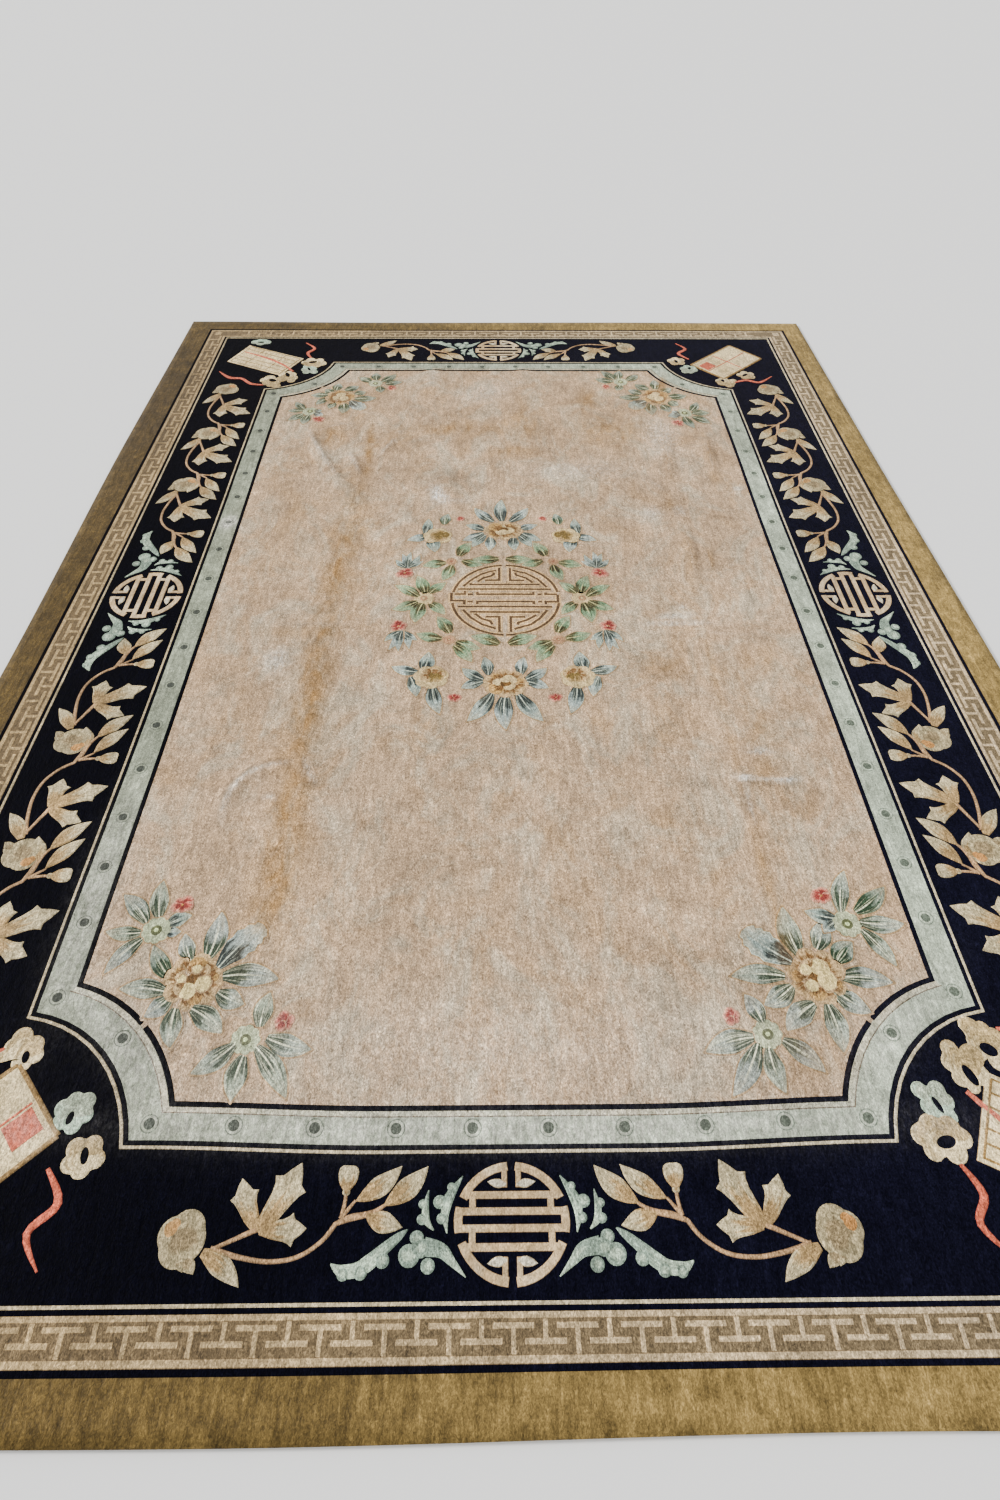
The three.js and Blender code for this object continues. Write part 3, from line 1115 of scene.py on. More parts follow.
@dataclass(frozen=True)
class Layout:
    """Where the rug's ruled lines and bands lie, by their distance from its side edge."""

    half_width: float = 1525
    half_length: float = 2135
    end_share: float = 0.925
    end_shift: float = 724.4
    outer_line: float = 99
    fret_line: float = 189
    cream_line: float = 196.5
    inner_cream: float = 478
    band_line: float = 486
    field_line: float = 565
    notch_outer: tuple[float, float, float] = (277, 262, 60)
    notch_inner: tuple[float, float, float] = (271, 255, 48)

    def half(self, inset: float) -> Point:
        """Gives the half width and half length of the frame at a distance from the edge."""
        return self.half_width - inset, self.half_length - inset * self.end_share

    def ends(self) -> tuple[Matrix, Matrix]:
        """Gives the matrices that lay a part of the left side along the far and near ends."""
        share, shift = self.end_share, self.end_shift
        far = Matrix(((0, share, 0, 0), (-share, 0, 0, shift), (0, 0, 1, 0), (0, 0, 0, 1)))
        return far, MIRROR_Y @ far

    def notch(self, inset: float) -> tuple[float, float, float]:
        """Gives the width, length and bulge of the notched corner at a distance."""
        share = (inset - self.band_line) / (self.field_line - self.band_line)
        return tuple(a + (b - a) * share for a, b in zip(self.notch_outer, self.notch_inner))

    def corner_arc(self, inset: float, first: float, last: float) -> list[Vector]:
        """Draws part of the notch at the upper right corner.

        Args:
            inset: The line's distance from the side edge.
            first: The share of the arc to start at, from the side.
            last: The share to end at, towards the end.

        Returns:
            The points of the arc, which bulges towards the field.
        """
        (wide, long), (across, along, bulge) = self.half(inset), self.notch(inset)
        side, end = Vector((wide, long - along)), Vector((wide - across, long))
        chord = end - side
        half = chord.length / 2
        radius = (half**2 + bulge**2) / (2 * bulge)
        inward = Vector((-chord.y, chord.x)).normalized()
        centre = (side + end) / 2 - inward * (radius - bulge)
        spread = math.asin(half / radius)
        points = []
        for i in range(NOTCH_STEPS + 1):
            turn = spread * (1 - 2 * (first + (last - first) * i / NOTCH_STEPS))
            aside = chord.normalized() * radius * math.sin(turn)
            points.append(centre + inward * radius * math.cos(turn) - aside)
        return points

    def loop(self, inset: float, square: bool = False) -> list[Vector]:
        """Draws a whole line round the rug.

        Args:
            inset: The line's distance from the side edge.
            square: Whether it keeps square corners instead of notched ones.

        Returns:
            The points of the loop, as many for every notched line.
        """
        quarter = [Vector(self.half(inset))] if square else self.corner_arc(inset, 0, 1)
        corners = [quarter, flipped(quarter), [-p for p in quarter], [-p for p in flipped(quarter)]]
        points = []
        for corner, following, count in zip(corners, corners[1:] + corners[:1], (36, 84) * 2):
            points += corner
            points += [corner[-1].lerp(following[0], i / count) for i in range(1, count)]
        return points

    def end_run(self, inset: float) -> list[Vector]:
        """Draws a line along the far end and both of its notches."""
        quarter = self.corner_arc(inset, 0, 1)
        return quarter + divided(quarter[-1], flipped(quarter)[0])[1:-1] + flipped(quarter)

    def broken_loop(self, inset: float, gap: float) -> list[list[Vector]]:
        """Draws a notched line that is broken at the middle of each notch.

        Args:
            inset: The line's distance from the side edge.
            gap: Half of the gap, as a share of the notch.

        Returns:
            Its four runs: the right side, the far end, the left side and the near end.
        """
        first, last = self.corner_arc(inset, 0, 0.5 - gap), self.corner_arc(inset, 0.5 + gap, 1)
        side = [-p for p in flipped(first)]
        side += divided(side[-1], first[0])[1:-1] + first
        end = last + divided(last[-1], flipped(last)[0])[1:-1] + flipped(last)
        return [side, end, [-p for p in side], [-p for p in end]]


def flipped(points: Sequence[Vector]) -> list[Vector]:
    """Gives a run of points mirrored left to right, in the other order."""
    return [Vector((-p.x, p.y)) for p in reversed(points)]


def divided(first: Vector, last: Vector, step: float = 45) -> list[Vector]:
    """Gives both ends of a straight line and even points between them."""
    count = max(1, round((last - first).length / step))
    return [first.lerp(last, i / count) for i in range(count + 1)]


SIDES = (ONCE, MIRROR_X)
CORNERS = (ONCE, MIRROR_X, MIRROR_Y, MIRROR_X @ MIRROR_Y)
PLATE_STEP = 30
LOW = Relief(1.0, 1.4)
FINE = Relief(0.9, 1.6)


class Cut(Enum):
    """The outlines of leaves and petals: rows of share along and share of the width.

    The number before the rows says how many smooth stretches join each row to the next.
    """

    LANCE = (3, ((0, 0.04), (0.2, 0.62), (0.48, 1), (0.76, 0.64), (1, 0.02)))
    PETAL = (3, ((0, 0.4), (0.22, 0.82), (0.46, 1), (0.76, 0.64), (1, 0.02)))
    BUD = (2, ((0, 0.3), (0.3, 0.82), (0.66, 1), (0.9, 0.9), (1, 0.55)))
    TOOTHED = (1, (
        (0, 0.3), (0.25, 0.52), (0.5, 0.66), (0.62, 0.8), (0.7, 1), (0.75, 0.6), (0.88, 0.34),
        (1, 0.02),
    ))
    RAGGED = (1, (
        (0, 0.3), (0.2, 0.62), (0.4, 0.92), (0.5, 0.84), (0.62, 1), (0.72, 0.8), (0.8, 0.88),
        (0.88, 0.6), (0.94, 0.66), (1, 0.3),
    ))

    def rows(self) -> list[Vector]:
        """Gives the outline with its smooth stretches."""
        parts, knots = self.value
        return splined([Vector(knot) for knot in knots], parts)


class Edging(Enum):
    """What is carved round a shape: nothing, a fine dark line of painted groove shade, or that line and
    a soft shoulder.
    """

    PLAIN = 0
    LINED = 1
    SET_IN = 2


class Carving:
    """One shape of dyed pile."""

    dye: Dye
    relief: Relief
    edging: Edging

    def shape(self, grown: float, relief: Relief) -> Shape:
        """Makes the closed shape on the straight rug.

        Args:
            grown: How far beyond its own outline it reaches, in millimetres.
            relief: How it stands above its ground.

        Returns:
            The shape.
        """
        raise NotImplementedError

    def layers(self) -> list[tuple[Shape, Dye]]:
        """Gives the shape and what is carved round it, each with its silk: a soft shoulder, and a dark
        line of painted groove shade.
        """
        made = []
        if self.edging is Edging.SET_IN:
            made.append((self.shape(4.5, Relief(0.5, 4.0)), Dye.FIELD))
        if self.edging is not Edging.PLAIN:
            # A slightly wider and darker shape below the shape: painted shade of the carved groove
            # round it.
            groove = Relief(self.relief.height - 0.35, 0.9, self.relief.level)
            made.append((self.shape(1.7, groove), Dye.GROOVE_SHADE))
        return [*made, (self.shape(0, self.relief), self.dye)]


@dataclass(frozen=True)
class Leaf(Carving):
    """A leaf or petal, from where it springs to its tip. Its bend is a share of its length."""

    base: Point
    tip: Point
    width: float
    dye: Dye
    cut: Cut = Cut.LANCE
    bend: float = 0.06
    relief: Relief = Relief()
    edging: Edging = Edging.PLAIN

    def shape(self, grown: float, relief: Relief) -> Shape:
        """See Carving.shape."""
        way = Vector(self.tip) - Vector(self.base)
        start = Vector(self.base) - way.normalized() * grown
        way += way.normalized() * grown * 2.5
        aside = Vector((-way.y, way.x)) * self.bend
        middle, halves = [], []
        for along, share in self.cut.rows():
            middle.append(start + way * along + aside * 4 * along * (1 - along))
            slope = way + aside * 4 * (1 - 2 * along)
            half = self.width / 2 * max(share, 0.02) + grown
            halves.append(Vector((slope.y, -slope.x)).normalized() * half)
        return ribbon(middle, halves, relief, (False, False))


@dataclass(frozen=True)
class Stem(Carving):
    """A smooth stem or tail through points, with a width at each of them."""

    points: tuple[Point, ...]
    widths: tuple[float, ...]
    dye: Dye
    relief: Relief = Relief()
    edging: Edging = Edging.PLAIN

    def shape(self, grown: float, relief: Relief) -> Shape:
        """See Carving.shape."""
        widths = self.widths * len(self.points) if len(self.widths) == 1 else self.widths
        curve = splined([Vector((*p, w)) for p, w in zip(self.points, widths)], 5)
        middle = [knot.xy for knot in curve]
        halves = [way * (knot.z + 2 * grown) for way, knot in zip(mitred(middle, 1), curve)]
        return ribbon(middle, halves, relief)


@dataclass(frozen=True)
class Stroke(Carving):
    """A straight-sided line through points, square at its corners and ends."""

    points: tuple[Point, ...]
    width: float
    dye: Dye
    relief: Relief = FINE
    edging: Edging = Edging.PLAIN

    def shape(self, grown: float, relief: Relief) -> Shape:
        """See Carving.shape."""
        middle = [Vector(p) for p in self.points]
        return ribbon(middle, mitred(middle, self.width + 2 * grown), relief)


@dataclass(frozen=True)
class Lobes(Carving):
    """A lobed patch: circles round a heart, each by its centre from it and its radius."""

    heart: Point
    circles: tuple[Row, ...]
    dye: Dye
    hole: Row | None = None
    steps: int = 36
    relief: Relief = Relief()
    dome: float = 0
    focus: Point | None = None
    edging: Edging = Edging.PLAIN

    def shape(self, grown: float, relief: Relief) -> Shape:
        """See Carving.shape."""
        circles = [(x, y, radius + grown) for x, y, radius in self.circles]
        edge = lobed(self.heart, circles, self.steps)
        if not self.hole:
            focus = Vector(self.focus) if self.focus else None
            return polar(edge, Vector(self.heart), relief, 0 if grown else self.dome, focus)
        x, y, long, wide, angle = self.hole
        turn = Matrix.Rotation(math.radians(angle), 2)
        inner = []
        for i in range(self.steps):
            way = 2 * math.pi * i / self.steps - math.radians(angle)
            oval = Vector(((long - grown) * math.cos(way), (wide - grown) * math.sin(way)))
            inner.append(Vector(self.heart) + Vector((x, y)) + turn @ oval)
        return ring(edge, inner, relief)


@dataclass(frozen=True)
class Plate(Carving):
    """A straight-sided patch by its corners, in order round it."""

    corners: tuple[Point, ...]
    dye: Dye
    relief: Relief = Relief()
    edging: Edging = Edging.PLAIN

    def shape(self, grown: float, relief: Relief) -> Shape:
        """See Carving.shape."""
        middle = sum((Vector(p) for p in self.corners), Vector((0, 0))) / len(self.corners)
        corners = [Vector(p) + (Vector(p) - middle).normalized() * grown for p in self.corners]
        edge = []
        for first, last in zip(corners, corners[1:] + corners[:1]):
            edge += divided(first, last, PLATE_STEP)[:-1]
        return polar(edge, middle, relief)


def disc(heart: Point, radius: float, dye: Dye, relief: Relief = FINE, steps: int = 20) -> Lobes:
    """Gives a round patch."""
    return Lobes(heart, ((0, 0, radius),), dye, steps=steps, relief=relief)


def petals(dye: Dye, rows: Iterable[Row], cut: Cut = Cut.PETAL, reach: float = 1) -> list[Leaf]:
    """Gives petals, each springing from a little before its base, under its flower.

    Args:
        dye: Their silk.
        rows: Their base x, base y, tip x, tip y and width.
        cut: Their outline.
        reach: Where they end, as a share of the way to the tip.

    Returns:
        The petals, which bend to either side in turn.
    """
    made = []
    for i, (x, y, far_x, far_y, width) in enumerate(rows):
        base, tip = Vector((x, y)), Vector((far_x, far_y))
        tip = base.lerp(tip, reach)
        base -= (tip - base).normalized() * 9
        bend = 0.05 * (-1) ** i
        made.append(Leaf(tuple(base), tuple(tip), width, dye, cut, bend, edging=Edging.SET_IN))
    return made


@dataclass(frozen=True)
class PeonyRound:
    """One round of a peony's petals, by shares of the flower's radius."""

    dye: Dye
    count: int
    out: float
    size: float
    shift: float
    level: float
    edging: Edging = Edging.PLAIN
    uneven: float = 0.2
    shaded: bool = True


PEONY_ROUNDS = (
    PeonyRound(Dye.PEONY_FOLD, 8, 0.66, 0.36, 0.0, 0.0, Edging.SET_IN),
    PeonyRound(Dye.PEONY, 5, 0.58, 0.27, 20.0, 0.35, uneven=0.3),
    PeonyRound(Dye.PEONY_FOLD, 6, 0.44, 0.26, 34.0, 0.5, Edging.LINED),
    PeonyRound(Dye.HEART, 1, 0.0, 0.34, 0.0, 0.7, shaded=False),
    PeonyRound(Dye.PEONY_LIGHT, 4, 0.34, 0.3, 40.0, 1.0, Edging.LINED, 0.35, False),
)
GOLDEN_ROUNDS = (
    PeonyRound(Dye.PEONY_FOLD, 8, 0.66, 0.36, 0.0, 0.0, Edging.SET_IN),
    PeonyRound(Dye.PEONY, 4, 0.56, 0.34, 45.0, 0.35, uneven=0.3),
    PeonyRound(Dye.CREAM_DAISY, 3, 0.26, 0.34, 30.0, 0.5, Edging.LINED, shaded=False),
    PeonyRound(Dye.HEART, 1, 0.0, 0.3, 0.0, 0.8, shaded=False),
    PeonyRound(Dye.CREAM_DAISY, 1, 0.16, 0.26, 180.0, 1.0, shaded=False),
)
RUFFLES = (-64, -20, 26, 66)


def peony(
    heart: Point, radius: float, squash: float = 1.0, turn: float = 0.0, golden: bool = False
) -> list[Carving]:
    """Draws a full flower: ruffled outer petals, brown folds, a dark heart and pale lobes.

    Args:
        heart: Its middle.
        radius: Its radius across the rug.
        squash: Its size along the rug, as a share of its radius.
        turn: How far its petals are turned, in degrees.
        golden: Whether its middle is folded and golden instead of pale.

    Returns:
        Its shapes, the lowest first.
    """
    flower: list[Carving] = []
    for row in GOLDEN_ROUNDS if golden else PEONY_ROUNDS:
        for i in range(row.count):
            angle = math.radians(turn + row.shift + 360 * i / row.count + 9 * math.sin(5.1 * i))
            uneven = 1 + row.uneven * math.sin(2.4 * i + turn)
            far, big = radius * row.out * (2 - uneven) ** 0.4, radius * row.size * uneven
            place = (heart[0] + far * math.cos(angle), heart[1] + far * squash * math.sin(angle))
            lobes, ruffle = [(0.0, 0.0, big * 0.8)], big * 0.56
            for side in RUFFLES:
                way = angle + math.radians(side)
                lobes.append((ruffle * math.cos(way), ruffle * squash * math.sin(way), big * 0.42))
            relief = Relief(1.3, min(3.0, big * 0.2), row.level)
            focus = heart if row.shaded else None
            flower.append(Lobes(place, tuple(lobes), row.dye, None, 20, relief, 0.5, focus, row.edging))
    return flower


def half_flower(heart: Point, radius: float, focus: Point) -> list[Carving]:
    """Draws a flower seen from the side.

    Args:
        heart: Its middle.
        radius: Its radius.
        focus: The place towards which its broad petals darken.

    Returns:
        Its shapes, the lowest first.
    """
    flower: list[Carving] = []
    for count, out, size, level, dye in (
        (7, 0.58, 0.46, 0.0, Dye.CREAM_DAISY),
        (6, 0.42, 0.36, 0.3, Dye.PEONY_FOLD),
        (5, 0.3, 0.44, 0.6, Dye.OLIVE_PEONY),
    ):
        middle = Vector(heart).lerp(Vector(focus), level * 0.7)
        for i in range(count):
            angle = 2 * math.pi * i / count + 0.3
            place = middle + Vector((math.cos(angle), math.sin(angle) * 0.85)) * radius * out
            relief = Relief(1.3, 2.5, level)
            edging = Edging.SET_IN if level == 0 else Edging.PLAIN
            lobe = ((0.0, 0.0, radius * size),)
            flower.append(Lobes(tuple(place), lobe, dye, None, 18, relief, 0.4, focus, edging))
    return flower


class Eye(Enum):
    """The silks of a daisy's disc, ring and dot."""

    GREEN = (Dye.DAISY, Dye.DAISY_RING, Dye.DAISY_DOT)
    CREAM = (Dye.CREAM_DAISY, Dye.TAN_DAISY, Dye.CREAM_DAISY)
    TAN = (Dye.TAN_DAISY, Dye.TAN_RING, Dye.CREAM_DAISY)


def daisy(heart: Point, radius: float, eye: Eye = Eye.CREAM) -> list[Carving]:
    """Draws a daisy's eye: a scalloped disc, a darker ring and a dot.

    Args:
        heart: Its middle.
        radius: Its radius.
        eye: Its silks.

    Returns:
        Its shapes, the lowest first.
    """
    disc_dye, ring_dye, dot_dye = eye.value
    lobes = tuple(
        (radius * 0.66 * math.cos(t), radius * 0.66 * math.sin(t), radius * 0.36)
        for t in (2 * math.pi * i / 9 for i in range(9))
    )
    return [
        Lobes(heart, (*lobes, (0, 0, radius * 0.7)), disc_dye, edging=Edging.SET_IN),
        disc(heart, radius * 0.42, ring_dye, Relief(1.2, 3.5, 0.5)),
        disc(heart, radius * 0.18, dot_dye, Relief(1.3, 1.6, 0.8), 12),
    ]


def bud(heart: Point, radius: float, squash: float = 0.8, turn: float = 90) -> list[Carving]:
    """Draws a small red flower: round petals, red at its middle, and a pale dot.

    Args:
        heart: Its middle.
        radius: Its radius across the rug.
        squash: Its size along the rug, as a share of its radius.
        turn: Where its first petal points, in degrees.

    Returns:
        Its shapes, the lowest first.
    """
    parts: list[Carving] = []
    for i, size in enumerate((0.62, 0.44, 0.56, 0.42, 0.5)):
        way = math.radians(turn + 72 * i)
        out = (radius * 0.5 * math.cos(way), radius * 0.5 * squash * math.sin(way))
        place = (heart[0] + out[0], heart[1] + out[1])
        relief = Relief(1.2, 2.0, 0.1 * i)
        lobes = ((0.0, 0.0, radius * size),)
        parts.append(Lobes(place, lobes, Dye.RED_BUD, None, 16, relief, 0.3, heart))
    return [*parts, disc(heart, radius * 0.14, Dye.BLUSH, Relief(1.3, 1.2, 0.8), 10)]


@dataclass(frozen=True)
class Lines:
    """The ruled lines, the pale green band and its pearls."""

    layout: Layout
    navy_width: float = 10.5
    band_line_width: float = 11.5
    field_line_width: float = 12.5
    field_line_gap: float = 0.014
    cream_width: float = 7
    pearl_side: float = 1000
    pearl_end: float = 1650
    pearl_corner: Point = (829, 1478)
    side_pearls: tuple[float, ...] = (
        -1386, -1203, -1050, -900, -740, -580, -420, -255, -88, 85, 250, 413, 577, 740, 903,
        1067, 1230, 1390,
    )
    end_pearls: tuple[float, ...] = (-725, -555, -392, -229, -76, 76, 229, 392, 555, 725)

    def pieces(self) -> list[PatternPiece]:
        """Makes the lines, the band and the pearls."""
        return [self.band(), self.navy(), self.cream(), self.pearls()]

    def line(self, inset: float, width: float, square: bool = False) -> Shape:
        """Makes one closed line round the rug, at a distance from its side edge."""
        return framing(self.layout.loop(inset, square), width, LOW)

    def navy(self) -> PatternPiece:
        """Makes the four navy lines, the inner one broken at its corners."""
        piece = PatternPiece("navy_lines", "navy_silk", [Dye.NAVY])
        for inset in (self.layout.outer_line, self.layout.fret_line):
            piece.add(self.line(inset, self.navy_width, square=True), Dye.NAVY)
        piece.add(self.line(self.layout.band_line, self.band_line_width), Dye.NAVY)
        for run in self.layout.broken_loop(self.layout.field_line, self.field_line_gap):
            piece.add(ribbon(run, mitred(run, self.field_line_width), LOW), Dye.NAVY)
        return piece

    def cream(self) -> PatternPiece:
        """Makes the cream lines beside the navy border, the pale strip and the carved line."""
        piece = PatternPiece("cream_lines", "cream_silk", [Dye.CREAM, Dye.BROWN, Dye.STRIP])
        for gap, width, relief, dye in (
            (10.5, 13, Relief(0.85, 1.0), Dye.STRIP),
            (17, 3.4, Relief(1.1, 0.8), Dye.BROWN),
        ):
            far = self.layout.end_run(self.layout.field_line - gap)
            for run in (far, [-p for p in far]):
                piece.add(ribbon(run, mitred(run, width), relief), dye)
        piece.add(self.line(self.layout.cream_line, self.cream_width, square=True), Dye.CREAM)
        piece.add(self.line(self.layout.inner_cream, self.cream_width), Dye.CREAM)
        return piece

    def band(self) -> PatternPiece:
        """Makes the pale green band."""
        piece = PatternPiece("celadon_band", "celadon_silk", [Dye.CELADON])
        outer = self.layout.loop(self.layout.band_line + 3)
        inner = self.layout.loop(self.layout.field_line - 4)
        piece.add(ring(outer, inner, Relief(0.7, 3.5)), Dye.CELADON)
        return piece

    def pearls(self) -> PatternPiece:
        """Makes the round pearls along the band: a dark eye in a soft ring."""
        (wide, long), both = self.pearl_corner, (-1, 1)
        places = [(side * self.pearl_side, y) for side in both for y in self.side_pearls]
        places += [(x, side * self.pearl_end) for side in both for x in self.end_pearls]
        places += [(x * wide, y * long) for x in both for y in both]
        piece = PatternPiece("band_pearls", "celadon_silk", [Dye.PEARL, Dye.PEARL_RING])
        rim, hole, relief = ((0, 0, 19),), (0, 0, 15.5, 15.5, 0), Relief(1.2, 1.2, 0, 0.5)
        for place in places:
            halo = Lobes(place, rim, Dye.PEARL_RING, hole, 24, relief)
            piece.cut([halo, disc(place, 12.5, Dye.PEARL, Relief(1.3, 2.5))])
        return piece


@dataclass(frozen=True)
class Fret:
    """The key border: two strips with hooks that reach for each other in turn."""

    layout: Layout
    pitch: float = 121
    stroke: float = 11
    crossbar: float = 40
    strips: tuple[Point, Point] = ((111.5, 12), (178.5, 11))
    outer: Point = (1407, 1363)
    inner: Point = (1352, 1387)
    side_hooks: int = 16
    end_hooks: int = 11
    key: tuple[Point, ...] = ((1366, 1986), (1398, 1986), (1398, 2018), (1366, 2018))

    def pieces(self) -> list[PatternPiece]:
        """Makes the whole key border."""
        piece = PatternPiece("key_border", "cream_silk", [Dye.FRET])
        for inset, width in self.strips:
            piece.add(framing(self.layout.loop(inset, square=True), width, FINE), Dye.FRET)
        for side, count, places in (
            (1, self.side_hooks, SIDES),
            (-1, self.end_hooks, self.layout.ends()),
        ):
            for i in range(-count, count + 1):
                for place in places:
                    piece.cut(self.hook(self.outer, side, i), place)
                    if i < count:
                        piece.cut(self.hook(self.inner, side, i + 0.5), place)
        for place in CORNERS:
            piece.cut([Plate(self.key, Dye.FRET, FINE)], place)
        return [piece]

    def hook(self, places: Point, side: int, number: float) -> list[Carving]:
        """Draws one T-shaped hook from a strip.

        Args:
            places: Where its stem leaves the strip, and where its crossbar lies.
            side: 1 on the right side of the rug and -1 on the left.
            number: Its place along the rug, in pitches.

        Returns:
            The stem and the crossbar.
        """
        root, head, y = side * places[0], side * places[1], number * self.pitch
        crossbar = ((head, y - self.crossbar), (head, y), (head, y + self.crossbar))
        return [
            Stroke(((root, y), (head, y)), self.stroke, Dye.FRET),
            Stroke(crossbar, self.stroke, Dye.FRET),
        ]


# Loops of the bundles' bows: middle, silk, steps, hole (x, y, length, width, angle) and circles
SCROLL_BOWS = (
    ((1042, -1500), Dye.BOW, 48, (-16, -15, 19, 13, -30), (
        (-42, 38, 20), (-14, 28, 19), (8, 14, 18), (-30, 4, 26), (-50, -24, 24), (0, -36, 26),
        (20, -16, 22),
    )),
    ((962, -1548), Dye.BOW, 48, (4, -20, 23, 10, 112), (
        (-20, 36, 19), (-26, 8, 21), (-16, -24, 20), (2, -44, 14), (24, -20, 22), (22, 20, 26),
    )),
    ((872, -1622), Dye.PALE_BOW, 48, (4, -4, 17, 6, 112), (
        (-24, 26, 17), (12, 26, 18), (22, 2, 18), (20, -28, 16), (-14, -6, 18), (-8, -30, 18),
    )),
    ((868, -1690), Dye.BOW, 48, (0, -6, 20, 12, 12), (
        (-44, 8, 22), (-20, 24, 24), (14, 22, 24), (34, 0, 20), (-30, -22, 20), (12, -26, 22),
    )),
    ((1150, -1905), Dye.PALE_BOW, 40, (0, 0, 16, 7, 0), (
        (-30, 0, 20), (0, 10, 22), (30, -2, 20), (10, -16, 18), (-14, -16, 16),
    )),
)
BOOK_BOWS = (
    ((-1026, -1508), Dye.BOW, 48, (4, -8, 13, 8, 100), (
        (-18, 34, 22), (12, 16, 22), (22, -4, 18), (0, -18, 22), (-30, 14, 20), (-44, -8, 15),
    )),
    ((-1136, -1572), Dye.BOW, 40, (0, 0, 18, 8, 40), (
        (-24, 20, 20), (4, 22, 20), (22, 0, 18), (-26, -8, 18), (0, -20, 18),
    )),
    ((-884, -1630), Dye.PALE_BOW, 48, (-4, -8, 13, 7, 80), (
        (-22, 10, 19), (-4, 26, 17), (20, 24, 18), (24, -2, 17), (6, -22, 17), (-20, -14, 17),
    )),
    ((-836, -1708), Dye.BOW, 40, (0, 0, 16, 8, 100), (
        (-20, 14, 20), (10, 18, 20), (24, -6, 18), (0, -22, 20), (-24, -14, 18),
    )),
)


